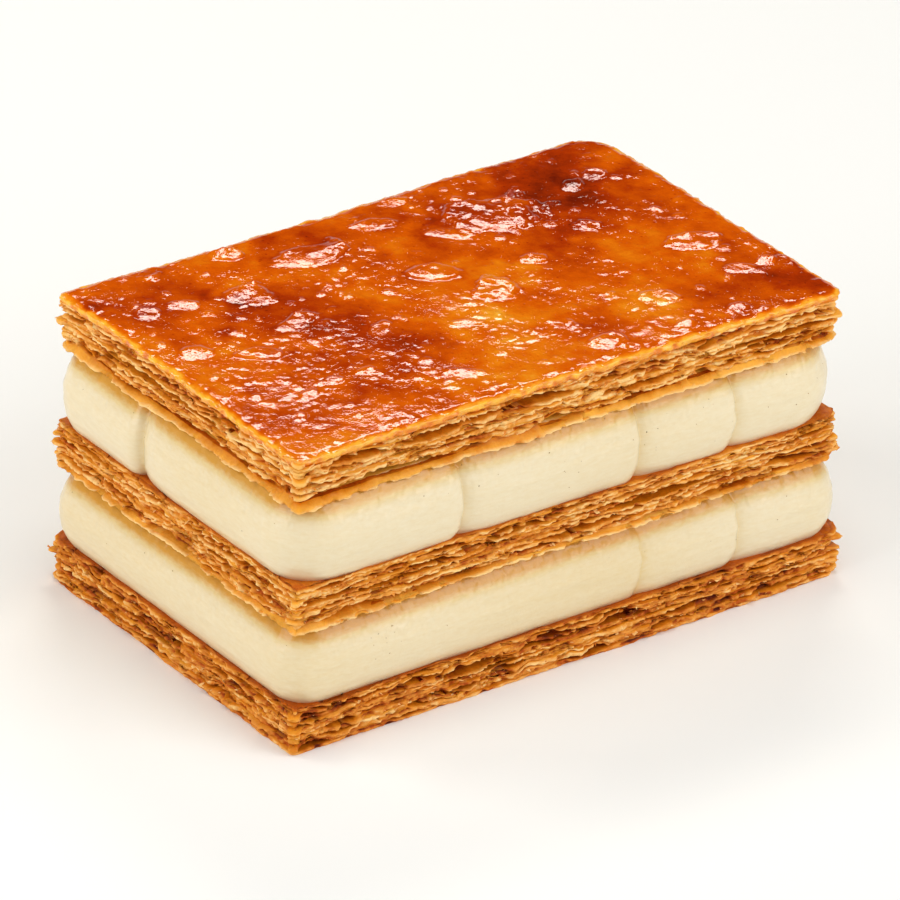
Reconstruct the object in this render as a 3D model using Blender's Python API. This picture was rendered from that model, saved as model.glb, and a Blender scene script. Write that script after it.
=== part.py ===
"""Mille feuille slice: three flaky puff pastry layers with two thick layers of cream between them.

Metres, +Z up. The slice rests on the underside of its bottom pastry at z = 0, is centred on the
origin in plan, and its length runs along X. Each layer is one closed solid: a stack of horizontal
rings, all with the same number of points, closed by a face below and a face or a fan above.
"""

import math

import bmesh
import bpy

MM = 0.001
TURN = 2.0 * math.pi

# Driving dimensions of the slice.
LENGTH = 100.0 * MM
WIDTH = 64.0 * MM
GAP = 0.3 * MM
BOTTOM_PASTRY = 7.3 * MM
LOWER_CREAM = 12.0 * MM
MIDDLE_PASTRY = 7.2 * MM
UPPER_CREAM = 12.8 * MM
TOP_PASTRY = 7.7 * MM

# How far each pastry stands out past the plan on every side; each is a little smaller than the one below.
BOTTOM_SPREAD = 0.8 * MM
MIDDLE_SPREAD = 0.3 * MM
TOP_SPREAD = -0.6 * MM

# Puff pastry: leaves with lips that stick out and grooves between them.
CORNER_RADIUS = 2.2 * MM
CORNER_STEPS = 3
LONG_STEPS = 17
SHORT_STEPS = 11
LEAVES = 5
LIP_REACH = 1.0 * MM
LIP_WAVE = 0.7 * MM
GROOVE_DEPTH = 1.7 * MM
GROOVE_WAVE = 0.6 * MM
LEAF_WAVE = 0.32 * MM
FLAT_INSET = 1.4 * MM
EDGE_INSET = 0.3 * MM
LIP_SLOPE = 0.15 * MM
LIP_FOOT = 0.22
LIP_BROW = 0.78
DROOP = 1.0 * MM

# Cream: a bulging band with soft corners and a few narrow creases.
CREAM_INSET = 3.2 * MM
CREAM_BULGE = 3.7 * MM
CREAM_CORNER = 6.5 * MM
CREAM_CORNER_STEPS = 6
CREAM_LONG_STEPS = 11
CREAM_SHORT_STEPS = 6
CREAM_LEVELS = 8
CREAM_WAVE = 0.45 * MM
CREASE_DEPTH = 1.8 * MM
CREASE_REACH = 2.4 * MM
CREASE_SIDES = (-1.0, -0.4, 0.0, 0.4, 1.0)

# The glazed top: rings that run in from the rim over shallow round blisters.
TOP_RINGS = 6
TOP_EDGE_DROP = 0.5 * MM
RIM_WAVE = 0.1 * MM
BLISTERS = 16
BLISTER_RISE = 0.8 * MM
BLISTER_RADIUS = 6.0 * MM
BLISTER_TURN = 2.39996

# How far along each side a crease stands, from -1 to 1, by the side it is on.
UPPER_CREASES = {"front": (-0.46, 0.35, 0.79), "left": (-0.43,), "back": (-0.45, 0.1), "right": (0.27,)}
LOWER_CREASES = {"front": (0.35, 0.79), "back": (-0.2, 0.5), "right": (-0.3,)}

PASTRY_COLOUR = (0.60, 0.27, 0.06, 1.0)
GLAZED_COLOUR = (0.62, 0.12, 0.01, 1.0)
CREAM_COLOUR = (0.86, 0.72, 0.44, 1.0)


def clear_scene():
    """Remove every object that the file holds."""
    for item in list(bpy.data.objects):
        bpy.data.objects.remove(item, do_unlink=True)


def make_material(name, colour, roughness):
    """Return a Principled material of one colour and roughness."""
    material = bpy.data.materials.new(name)
    material.use_nodes = True
    shader = material.node_tree.nodes["Principled BSDF"]
    shader.inputs["Base Color"].default_value = colour
    shader.inputs["Roughness"].default_value = roughness
    shader.inputs["Metallic"].default_value = 0.0
    return material


def ripple(turn, seed):
    """Return a smooth wave between about -1 and 1 that closes after one turn, different for each seed."""
    total = 0.0
    for order in range(1, 5):
        waves = 3 * order + (5 * seed + order) % 4
        phase = 1.7 * seed + 2.3 * order
        total += math.sin(waves * TURN * turn + phase) / order
    return total / 1.7


def outline(length, width, radius, corner_steps, long_steps, short_steps, creases):
    """Return the stations round a rectangle with round corners, counter-clockwise from the front side.

    Each station is its point, its outward direction and its crease depth from 0 to 1. A crease adds
    stations of its own, so that its sides stay narrow.
    """
    half_x = 0.5 * length - radius
    half_y = 0.5 * width - radius
    sides = (
        ("front", (1.0, 0.0), (0.0, -1.0), half_x, half_y + radius, long_steps),
        ("right", (0.0, 1.0), (1.0, 0.0), half_y, half_x + radius, short_steps),
        ("back", (-1.0, 0.0), (0.0, 1.0), half_x, half_y + radius, long_steps),
        ("left", (0.0, -1.0), (-1.0, 0.0), half_y, half_x + radius, short_steps),
    )
    stations = []
    for name, along, outward, reach, offset, steps in sides:
        places = {}
        for step in range(steps + 1):
            places[-reach + 2.0 * reach * step / steps] = 0.0
        for centre in creases.get(name, ()):
            middle = centre * reach
            places = {place: depth for place, depth in places.items()
                      if abs(place - middle) > 1.4 * CREASE_REACH}
            for side in CREASE_SIDES:
                places[middle + side * CREASE_REACH] = (1.0 - abs(side)) ** 2
        for place in sorted(places):
            point = (along[0] * place + outward[0] * offset, along[1] * place + outward[1] * offset)
            stations.append((point, outward, places[place]))
        heading = math.atan2(outward[1], outward[0])
        corner = (along[0] * reach + outward[0] * (offset - radius),
                  along[1] * reach + outward[1] * (offset - radius))
        for step in range(1, corner_steps):
            angle = heading + 0.25 * TURN * step / corner_steps
            direction = (math.cos(angle), math.sin(angle))
            point = (corner[0] + radius * direction[0], corner[1] + radius * direction[1])
            stations.append((point, direction, 0.0))
    return stations


def ring_at(stations, reach_of, height_of):
    """Return one ring of points: each station moved outwards by reach_of and set at height_of."""
    ring = []
    for index, (point, outward, crease) in enumerate(stations):
        turn = index / len(stations)
        reach = reach_of(turn, crease)
        ring.append((point[0] + outward[0] * reach, point[1] + outward[1] * reach, height_of(turn)))
    return ring


def blister_height(x, y):
    """Return how far the glazed top rises above its lowest at a point of the plan.

    Each blister is a round bump that falls off as a bell curve. The bumps stand on a spiral whose
    turn from one to the next is the golden angle, so they spread evenly, and every third is small.
    """
    height = 0.0
    for blister in range(BLISTERS):
        share = math.sqrt((blister + 0.5) / BLISTERS)
        angle = blister * BLISTER_TURN
        centre_x = 0.46 * LENGTH * share * math.cos(angle)
        centre_y = 0.46 * WIDTH * share * math.sin(angle)
        radius = BLISTER_RADIUS * (0.6 if blister % 3 == 0 else 1.0)
        distance = math.hypot(x - centre_x, y - centre_y) / radius
        height = max(height, BLISTER_RISE * math.exp(-distance * distance))
    return height


def shrink_ring(ring, share, base):
    """Return the ring drawn in towards the middle to a share of its size, over the blisters."""
    return [(x * share, y * share, base + blister_height(x * share, y * share)) for x, y, _z in ring]


def solid_from_rings(name, rings, peak, material):
    """Join rings from the bottom up into one closed solid.

    The lowest ring is closed by one flat face. The highest ring is closed by one flat face too, or by
    a fan that rises to the peak where one is given.
    """
    mesh = bpy.data.meshes.new(name)
    shape = bmesh.new()
    rows = [[shape.verts.new(point) for point in ring] for ring in rings]
    count = len(rows[0])
    for lower, upper in zip(rows, rows[1:]):
        for index in range(count):
            after = (index + 1) % count
            shape.faces.new((lower[index], lower[after], upper[after], upper[index]))
    shape.faces.new(list(reversed(rows[0])))
    if peak is None:
        shape.faces.new(rows[-1])
    else:
        centre = shape.verts.new(peak)
        for index in range(count):
            shape.faces.new((rows[-1][index], rows[-1][(index + 1) % count], centre))
    bmesh.ops.triangulate(shape, faces=shape.faces[:])
    bmesh.ops.recalc_face_normals(shape, faces=shape.faces[:])
    shape.to_mesh(mesh)
    shape.free()
    mesh.materials.append(material)
    item = bpy.data.objects.new(name, mesh)
    bpy.context.collection.objects.link(item)
    return item


def leaf_levels(base, height, seed):
    """Return the height of each border between leaves, as functions of the turn round the slice."""
    def border(level):
        share = level / LEAVES
        swing = LEAF_WAVE if 0 < level < LEAVES else 0.0
        return lambda turn: base + height * share + swing * ripple(turn, seed + level)
    return [border(level) for level in range(LEAVES + 1)]


def make_pastry(name, base, height, spread, seed, material, drooping=False, glazed=False):
    """Build one puff pastry layer: leaves that stick out by ragged lips, with grooves between them.

    The underside is flat. A drooping pastry has a lowest leaf whose lip hangs below its underside,
    and a glazed one is closed on top by a low blistered dome in place of a flat face.
    """
    reach = LIP_REACH + LIP_WAVE - spread
    stations = outline(LENGTH - 2.0 * reach, WIDTH - 2.0 * reach, CORNER_RADIUS, CORNER_STEPS,
                       LONG_STEPS, SHORT_STEPS, {})
    borders = leaf_levels(base, height, seed)
    rings = [ring_at(stations, lambda turn, crease: -FLAT_INSET, borders[0])]
    for leaf in range(LEAVES):
        lower, upper = borders[leaf], borders[leaf + 1]
        hang = DROOP if drooping and leaf == 0 else 0.0

        def lip(turn, crease, leaf=leaf):
            return LIP_REACH + LIP_WAVE * max(-1.0, min(1.0, ripple(turn, seed + 7 * leaf + 3)))

        def lip_foot(turn, lower=lower, upper=upper, hang=hang):
            return lower(turn) + LIP_FOOT * (upper(turn) - lower(turn)) - hang

        def lip_brow(turn, lower=lower, upper=upper, hang=hang):
            return lower(turn) + LIP_BROW * (upper(turn) - lower(turn)) - 0.6 * hang

        rings.append(ring_at(stations, lip, lip_foot))
        rings.append(ring_at(stations, lambda turn, crease, lip=lip: lip(turn, crease) - LIP_SLOPE,
                             lip_brow))

        def groove(turn, crease, leaf=leaf):
            return GROOVE_WAVE * ripple(turn, seed + 11 * leaf) - GROOVE_DEPTH

        if leaf < LEAVES - 1:
            rings.append(ring_at(stations, groove, upper))
    if not glazed:
        rings.append(ring_at(stations, lambda turn, crease: -EDGE_INSET, borders[-1]))
        return solid_from_rings(name, rings, None, material)
    summit = base + height
    rim = ring_at(stations, lambda turn, crease: EDGE_INSET,
                  lambda turn: summit - TOP_EDGE_DROP + RIM_WAVE * ripple(turn, seed + 5))
    rings.append(rim)
    skin = summit - BLISTER_RISE
    for step in range(1, TOP_RINGS + 1):
        rings.append(shrink_ring(rim, 1.0 - step / (TOP_RINGS + 1), skin))
    return solid_from_rings(name, rings, (0.0, 0.0, skin + blister_height(0.0, 0.0)), material)


def make_cream(name, base, height, seed, creases, material):
    """Build one cream layer: a band with round corners that bulges between its flat ends.

    The bulge is largest half way up and falls off towards both ends as a fourth power, and each
    crease is a narrow valley from the lower end to the upper.
    """
    stations = outline(LENGTH - 2.0 * CREAM_INSET, WIDTH - 2.0 * CREAM_INSET, CREAM_CORNER,
                       CREAM_CORNER_STEPS, CREAM_LONG_STEPS, CREAM_SHORT_STEPS, creases)
    rings = []
    for level in range(CREAM_LEVELS):
        share = 0.5 - 0.5 * math.cos(math.pi * level / (CREAM_LEVELS - 1))
        fullness = 1.0 - abs(2.0 * share - 1.0) ** 4
        lean = math.sin(math.pi * share)

        def reach(turn, crease, fullness=fullness, lean=lean):
            return (CREAM_BULGE * fullness + CREAM_WAVE * lean * ripple(turn, seed)
                    - CREASE_DEPTH * crease * (0.35 + 0.65 * fullness))

        rings.append(ring_at(stations, reach, lambda turn, share=share: base + height * share))
    return solid_from_rings(name, rings, None, material)


def build_slice():
    """Stack the five layers from the bottom up, each the gap above the one below."""
    clear_scene()
    lower_cream = BOTTOM_PASTRY + GAP
    middle_pastry = lower_cream + LOWER_CREAM + GAP
    upper_cream = middle_pastry + MIDDLE_PASTRY + GAP
    top_pastry = upper_cream + UPPER_CREAM + GAP
    make_pastry("pastry_bottom", 0.0, BOTTOM_PASTRY, BOTTOM_SPREAD, 2,
                make_material("pastry_bottom", PASTRY_COLOUR, 0.7))
    make_cream("cream_lower", lower_cream, LOWER_CREAM, 4, LOWER_CREASES,
               make_material("cream_lower", CREAM_COLOUR, 0.45))
    make_pastry("pastry_middle", middle_pastry, MIDDLE_PASTRY, MIDDLE_SPREAD, 9,
                make_material("pastry_middle", PASTRY_COLOUR, 0.7))
    make_cream("cream_upper", upper_cream, UPPER_CREAM, 6, UPPER_CREASES,
               make_material("cream_upper", CREAM_COLOUR, 0.45))
    make_pastry("pastry_top", top_pastry, TOP_PASTRY, TOP_SPREAD, 5,
                make_material("pastry_top", GLAZED_COLOUR, 0.2), drooping=True, glazed=True)


build_slice()
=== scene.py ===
"""Mille feuille slice: the finished pastry, cream and glaze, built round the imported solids."""

import logging
import math
from dataclasses import dataclass, field
from enum import Enum
from functools import cache
from itertools import product
from typing import Protocol

import bpy
import numpy as np
from mathutils import Matrix, Vector


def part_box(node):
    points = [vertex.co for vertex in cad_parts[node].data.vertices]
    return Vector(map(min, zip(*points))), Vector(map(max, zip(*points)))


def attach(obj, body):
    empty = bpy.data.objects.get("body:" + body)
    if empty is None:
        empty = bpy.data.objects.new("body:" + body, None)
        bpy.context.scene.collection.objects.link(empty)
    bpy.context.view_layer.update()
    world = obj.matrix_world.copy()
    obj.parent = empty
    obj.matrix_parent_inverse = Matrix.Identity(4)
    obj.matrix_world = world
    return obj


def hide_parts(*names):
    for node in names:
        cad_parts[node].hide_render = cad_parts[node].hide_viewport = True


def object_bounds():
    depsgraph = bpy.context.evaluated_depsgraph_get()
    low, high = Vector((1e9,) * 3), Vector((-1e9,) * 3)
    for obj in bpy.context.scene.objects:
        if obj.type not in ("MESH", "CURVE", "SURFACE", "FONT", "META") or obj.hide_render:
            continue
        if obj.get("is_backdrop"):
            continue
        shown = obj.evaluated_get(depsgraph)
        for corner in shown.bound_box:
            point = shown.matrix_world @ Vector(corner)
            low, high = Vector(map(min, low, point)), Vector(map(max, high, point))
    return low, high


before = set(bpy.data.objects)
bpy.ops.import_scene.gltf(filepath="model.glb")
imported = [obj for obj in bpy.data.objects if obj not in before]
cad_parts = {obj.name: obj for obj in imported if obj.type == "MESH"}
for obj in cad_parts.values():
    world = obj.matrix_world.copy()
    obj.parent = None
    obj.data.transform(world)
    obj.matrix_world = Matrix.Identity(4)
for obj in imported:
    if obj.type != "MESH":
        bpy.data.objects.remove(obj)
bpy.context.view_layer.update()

MM = 0.001
TURN = 2.0 * math.pi
BAKE_MAP = "OFBake"
Waves = tuple[tuple[int, float], ...]
Tree, Socket = bpy.types.NodeTree, bpy.types.NodeSocket
log = logging.getLogger("mille_feuille")


# ---------------------------------------------------------------------------------------------------
# Noise and small formulas
# ---------------------------------------------------------------------------------------------------


def linear(hex_colour: str) -> tuple[float, float, float, float]:
    """Turn an sRGB hex colour into linear red, green, blue and full alpha.

    Args:
        hex_colour: Six hex digits with a leading hash.

    Returns:
        Four numbers from 0 to 1.
    """
    parts = [int(hex_colour[place:place + 2], 16) / 255.0 for place in (1, 3, 5)]
    red, green, blue = (part / 12.92 if part <= 0.04045 else ((part + 0.055) / 1.055) ** 2.4 for part in parts)
    return red, green, blue, 1.0


def smooth(low: float, high: float, value: np.ndarray) -> np.ndarray:
    """Rise from 0 at low to 1 at high along the cubic 3t^2 - 2t^3.

    Args:
        low: Where the rise begins.
        high: Where it ends; it may be below low for a fall.
        value: Where to read it.

    Returns:
        Numbers from 0 to 1, shaped like value.
    """
    share = np.clip((value - low) / (high - low), 0.0, 1.0)
    return share * share * (3.0 - 2.0 * share)


def ring_noise(count: int, cells: int, rng: np.random.Generator, rows: int = 1) -> np.ndarray:
    """Wavy curves that close after one turn: random heights at even cells, joined by cubics.

    Between two cells the curve is the Catmull-Rom cubic through the four nearest heights.

    Args:
        count: Stations round the turn.
        cells: Random heights round the turn.
        rng: Source of the heights.
        rows: How many curves to make.

    Returns:
        An array of rows by count, mostly between -1 and 1.
    """
    heights = rng.uniform(-1.0, 1.0, (rows, cells))
    place = np.arange(count) * cells / count
    cell = place.astype(int)
    t = place - cell
    before, here, after, beyond = (heights[:, (cell + step) % cells] for step in (-1, 0, 1, 2))
    return 0.5 * (2.0 * here + (after - before) * t
                  + (2.0 * before - 5.0 * here + 4.0 * after - beyond) * t ** 2
                  + (3.0 * here - before - 3.0 * after + beyond) * t ** 3)


def waves(count: int, parts: Waves, rng: np.random.Generator, rows: int = 1) -> np.ndarray:
    """Sum closed wavy curves, from broad to fine.

    Args:
        count: Stations round the turn.
        parts: The cells round the turn and the height of each curve.
        rng: Source of the heights.
        rows: How many sums to make.

    Returns:
        An array of rows by count.
    """
    return sum(height * ring_noise(count, cells, rng, rows) for cells, height in parts)


def grain(points: np.ndarray, size: float | tuple[float, float, float], seed: int,
          octaves: int = 1) -> np.ndarray:
    """Smooth random field in space: hashed heights on a cubic lattice, blended by 3t^2 - 2t^3.

    Each octave halves the lattice and its share of the sum.

    Args:
        points: Places, with x, y, z last.
        size: Lattice spacing in metres, the same or one for each axis.
        seed: Picks the field.
        octaves: How many are summed.

    Returns:
        Heights from about -1 to 1.
    """
    total = np.zeros(points.shape[:-1])
    weight = 0.0
    for octave in range(octaves):
        scaled = points / np.asarray(size) * 2.0 ** octave + 31.7 * octave
        cell = np.floor(scaled).astype(np.int64)
        t = scaled - cell
        t = t * t * (3.0 - 2.0 * t)
        value = np.zeros(points.shape[:-1])
        for corner in product((0, 1), repeat=3):
            key = cell + np.array(corner)
            hashed = key[..., 0] * 73856093 ^ key[..., 1] * 19349663 ^ key[..., 2] * 83492791
            hashed = (hashed ^ (seed + octave) * 2654435761) & 0xFFFFFFFF
            hashed = (hashed ^ hashed >> 15) * 2246822519 & 0xFFFFFFFF
            hashed = (hashed ^ hashed >> 13) * 3266489917 & 0xFFFFFFFF
            share = np.prod(np.where(np.array(corner) == 1, t, 1.0 - t), axis=-1)
            value += share * ((hashed ^ hashed >> 16) & 0xFFFF) / 32767.5
        total += (value - 1.0) * 0.5 ** octave
        weight += 0.5 ** octave
    return total / weight * 1.3


def flattened(plan: np.ndarray) -> np.ndarray:
    """Return plan points with a height of 0."""
    return np.concatenate((plan, np.zeros(plan.shape[:-1] + (1,))), axis=-1)


def ridges(points: np.ndarray, size: float | tuple[float, float, float], seed: int) -> np.ndarray:
    """Sharp creases between soft hollows: one less the size of a grain field, squared.

    Args:
        points: Places, with x, y, z last.
        size: Lattice spacing in metres.
        seed: Picks the field.

    Returns:
        Heights from 0 in the hollows to 1 on the creases.
    """
    return np.clip(1.0 - 2.2 * np.abs(grain(points, size, seed)), 0.0, 1.0) ** 2


# ---------------------------------------------------------------------------------------------------
# Meshes and materials
# ---------------------------------------------------------------------------------------------------


def mesh_object(name: str, points: np.ndarray, faces: list[np.ndarray], uv: np.ndarray | None = None,
                masks: dict[str, np.ndarray] | None = None) -> bpy.types.Object:
    """Put whole arrays into a smooth mesh and link its object, which stays at the origin.

    Args:
        name: The piece's name.
        points: Vertices, one row each.
        faces: Arrays of vertex numbers, each with one width of 3 or 4.
        uv: Map places for every face corner in the faces' order, or None.
        masks: Named values for every vertex, which the materials read.

    Returns:
        The new object.
    """
    mesh = bpy.data.meshes.new(name)
    corners = np.concatenate([face.ravel() for face in faces])
    sizes = np.concatenate([np.full(len(face), face.shape[1]) for face in faces])
    mesh.vertices.add(len(points))
    mesh.vertices.foreach_set("co", points.ravel())
    mesh.loops.add(len(corners))
    mesh.loops.foreach_set("vertex_index", corners)
    mesh.polygons.add(len(sizes))
    mesh.polygons.foreach_set("loop_start", np.concatenate(([0], np.cumsum(sizes)[:-1])))
    mesh.polygons.foreach_set("use_smooth", np.ones(len(sizes), dtype=bool))
    mesh.update(calc_edges=True)
    if uv is not None:
        mesh.uv_layers.new(name=BAKE_MAP).data.foreach_set("uv", uv.ravel())
    for key, values in (masks or {}).items():
        mesh.attributes.new(key, "FLOAT", "POINT").data.foreach_set("value", values.ravel())
    piece = bpy.data.objects.new(name, mesh)
    bpy.context.collection.objects.link(piece)
    return piece


def add_node(tree: Tree, kind: str, settings: dict | None = None,
             links: dict | None = None) -> bpy.types.Node:
    """Add one node with its settings and links.

    Args:
        tree: The material's or world's node tree.
        kind: The node's type.
        settings: Properties and socket values by name; "stops" are a ramp's places and hex colours.
        links: Output sockets by the name or number of the input that each one feeds.

    Returns:
        The new node.
    """
    node = tree.nodes.new(kind)
    for key, value in (settings or {}).items():
        if key == "stops":
            elements = node.color_ramp.elements
            while len(elements) < len(value):
                elements.new(1.0)
            for element, (place, colour) in zip(elements, value):
                element.position = place
                element.color = linear(colour)
        elif isinstance(key, str) and hasattr(node, key):
            setattr(node, key, value)
        else:
            node.inputs[key].default_value = value
    for key, source in (links or {}).items():
        tree.links.new(source, node.inputs[key])
    return node


def noise(tree: Tree, place: Socket, size: float, **settings: float) -> Socket:
    """Return a noise over a place whose grains are size metres across."""
    values = {"Scale": 1.0 / size, **settings}
    return add_node(tree, "ShaderNodeTexNoise", values, {"Vector": place}).outputs["Fac"]


def scaled_sum(tree: Tree, value: Socket, share: float, other: Socket | float, clamp: bool = False) -> Socket:
    """Give value x share + other.

    Args:
        tree: The node tree.
        value: What is scaled.
        share: By how much.
        other: What is added, a number or another node's output.
        clamp: Whether the sum is held between 0 and 1.

    Returns:
        The sum.
    """
    number = {2: other} if isinstance(other, float) else {}
    socket = {} if isinstance(other, float) else {2: other}
    settings = {"operation": "MULTIPLY_ADD", "use_clamp": clamp, 1: share, **number}
    return add_node(tree, "ShaderNodeMath", settings, {0: value, **socket}).outputs[0]


def ramp(tree: Tree, value: Socket, places: tuple[float, ...], colours: tuple[str, ...]) -> Socket:
    """Return the colour that a value has on a ramp with the given places and hex colours."""
    stops = tuple(zip(places, colours))
    return add_node(tree, "ShaderNodeValToRGB", {"stops": stops}, {"Fac": value}).outputs["Color"]


def mixed(tree: Tree, share: Socket, first: Socket, second: Socket) -> Socket:
    """Return the first colour where share is 0, turning into the second where it is 1."""
    return add_node(tree, "ShaderNodeMix", {"data_type": "RGBA"}, {0: share, 6: first, 7: second}).outputs[2]


def mask(tree: Tree, name: str) -> Socket:
    """Return one of the piece's own named values."""
    return add_node(tree, "ShaderNodeAttribute", {"attribute_name": name}).outputs["Fac"]


def bump(tree: Tree, height: Socket, relief: float, strength: float) -> Socket:
    """Return the normal over a height field whose full swing is relief metres."""
    settings = {"Strength": strength, "Distance": relief}
    return add_node(tree, "ShaderNodeBump", settings, {"Height": height}).outputs["Normal"]


def new_material(name: str,
                 constants: dict[str, float]) -> tuple[bpy.types.Material, Tree, bpy.types.NodeInputs]:
    """Make a material of one Principled shader.

    Args:
        name: Its name.
        constants: Values of the shader's own sockets.

    Returns:
        The material, its node tree and the shader's inputs.
    """
    material = bpy.data.materials.new(name)
    material.use_nodes = True
    inputs = material.node_tree.nodes["Principled BSDF"].inputs
    for key, value in constants.items():
        inputs[key].default_value = value
    return material, material.node_tree, inputs


class Finish(Protocol):
    """What every finish has and can do."""

    name: str

    def material(self) -> bpy.types.Material:
        """Return the finish as a material."""


@cache
def material_of(finish: Finish) -> bpy.types.Material:
    """Return the finish's material, which is made the first time that it is asked for."""
    return finish.material()


def dress(piece: bpy.types.Object, finish: Finish, node: str, stands_for: bool = True) -> bpy.types.Object:
    """Give a piece its finish and fix it to the slice.

    Args:
        piece: The piece.
        finish: What it is made of.
        node: The CAD node that it belongs to.
        stands_for: Whether the node is hidden behind it.

    Returns:
        The same piece.
    """
    piece.data.materials.append(material_of(finish))
    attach(piece, "root")
    if stands_for:
        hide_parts(node)
    log.info("%s: %d faces of %s", piece.name, len(piece.data.polygons), finish.name)
    return piece


@dataclass(frozen=True)
class CrumbFinish:
    """Baked puff pastry: laminated dough whose thin leaves dried and browned in the oven.

    The cut edge is matt, pale tan crumb that turns rusty where it baked longer; the leaves' flat faces
    are smoother, golden and faintly greasy from the butter, and deep between the leaves they are made
    darker, partly as browning and partly as painted shade.

    Attributes:
        name: The material's name.
        crumb: Colours of the cut edge, from pale to burnt.
        face: Colours of a leaf's flat face, from pale to burnt.
        skin: Colours of the layer's outer skin, from pale to burnt.
        browning: How far the whole layer is baked beyond a mean one.
        crumb_size: Size of the blotches.
        fleck_size: Size of the flecks, which are the relief too.
        shares: How much the blotches and the flecks change the browning.
        least: The browning where both are 0.
        relief: Height of the flecks.
        relief_strength: How much of that relief shows.
        dull: Roughness of a face and of the cut edge.
    """

    name: str
    crumb: tuple[str, ...] = ("#f8cf88", "#e8993c", "#b6500a", "#521200")
    face: tuple[str, ...] = ("#f0a630", "#d97f12", "#8a3702")
    skin: tuple[str, ...] = ("#e58c1e", "#b9560a", "#6a2202")
    browning: float = 0.0
    crumb_size: float = 1.3 * MM
    fleck_size: float = 0.5 * MM
    shares: tuple[float, float] = (0.5, 0.25)
    least: float = -0.4
    relief: float = 0.11 * MM
    relief_strength: float = 0.8
    dull: tuple[float, float] = (0.42, 0.68)

    def material(self) -> bpy.types.Material:
        """Return the material: three ramps over browning with painted shade, mixed by the leaves' own masks."""
        material, tree, shader = new_material(self.name, {"IOR": 1.45, "Specular IOR Level": 0.2})
        place = add_node(tree, "ShaderNodeTexCoord").outputs["Object"]
        edge = mask(tree, "edge")
        blotch = noise(tree, place, self.crumb_size, Detail=4.0, Roughness=0.65)
        fleck = noise(tree, place, self.fleck_size, Detail=2.0)
        uneven = scaled_sum(tree, blotch, self.shares[0], self.least + self.browning)
        specked = scaled_sum(tree, fleck, self.shares[1], uneven)
        # The browning mask also carries painted shade in the recesses and in the crumb's holes.
        baked = scaled_sum(tree, mask(tree, "browning"), 1.0, specked, clamp=True)
        thirds, halves = (0.0, 0.33, 0.66, 1.0), (0.0, 0.5, 1.0)
        leaf = mixed(tree, edge, ramp(tree, baked, halves, self.face), ramp(tree, baked, thirds, self.crumb))
        colour = mixed(tree, mask(tree, "skin"), leaf, ramp(tree, baked, halves, self.skin))
        dull = scaled_sum(tree, edge, self.dull[1] - self.dull[0], self.dull[0])
        tree.links.new(colour, shader["Base Color"])
        tree.links.new(dull, shader["Roughness"])
        tree.links.new(bump(tree, fleck, self.relief, self.relief_strength), shader["Normal"])
        return material


@dataclass(frozen=True)
class GlazeFinish:
    """Sugar glaze: icing sugar melted and caramelised over the top leaf under a fierce grill.

    It sets as hard, clear, amber to mahogany caramel: a glassy coat over a fine crinkle, golden where
    it is thin at the rim and on the low ground, red-brown where it pooled or scorched.

    Attributes:
        name: The material's name.
        tones: Colours from gold to mahogany.
        places: Where on the scale of heat each colour stands.
        mottle_size: Size of the cloudy unevenness.
        mottle_share: How much that changes the heat.
        crinkle_size: Size of the crinkle.
        relief: Height of the crinkle.
        pit_size: Distance between the small dark pores.
        pit_reach: A pore's dark middle and its rim, counted in that distance.
        pit_heat: How much darker its middle is.
    """

    name: str = "caramelised_glaze"
    tones: tuple[str, ...] = ("#f8ba38", "#e67c0c", "#d45802", "#aa3202", "#701a04")
    places: tuple[float, ...] = (0.0, 0.28, 0.5, 0.75, 1.0)
    mottle_size: float = 3.0 * MM
    mottle_share: float = 0.5
    crinkle_size: float = 0.36 * MM
    relief: float = 0.030 * MM
    pit_size: float = 1.6 * MM
    pit_reach: tuple[float, float] = (0.06, 0.16)
    pit_heat: float = 0.16

    def material(self) -> bpy.types.Material:
        """Return the material: one ramp from gold to mahogany under a clear coat with a crinkled bump."""
        material, tree, shader = new_material(self.name, {
            "Roughness": 0.45, "IOR": 1.45, "Specular IOR Level": 0.0,
            "Coat Weight": 1.0, "Coat Roughness": 0.05, "Coat IOR": 1.5})
        place = add_node(tree, "ShaderNodeTexCoord").outputs["Object"]
        mottle = noise(tree, place, self.mottle_size, Detail=5.0, Roughness=0.7)
        crinkle = noise(tree, place, self.crinkle_size, Detail=0.8, Roughness=0.5, Distortion=0.4)
        pits = add_node(tree, "ShaderNodeTexVoronoi", {"Scale": 1.0 / self.pit_size}, {"Vector": place})
        fall = {"From Min": self.pit_reach[0], "From Max": self.pit_reach[1],
                "To Min": self.pit_heat, "To Max": 0.0}
        pit = add_node(tree, "ShaderNodeMapRange", fall, {"Value": pits.outputs["Distance"]}).outputs["Result"]
        uneven = scaled_sum(tree, mottle, self.mottle_share, -0.5 * self.mottle_share)
        warm = scaled_sum(tree, mask(tree, "caramel"), 1.0, uneven)
        hot = scaled_sum(tree, warm, 1.0, pit, clamp=True)
        tree.links.new(ramp(tree, hot, self.places, self.tones), shader["Base Color"])
        normal = bump(tree, crinkle, self.relief, 1.0)
        tree.links.new(normal, shader["Normal"])
        tree.links.new(normal, shader["Coat Normal"])
        return material


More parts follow.
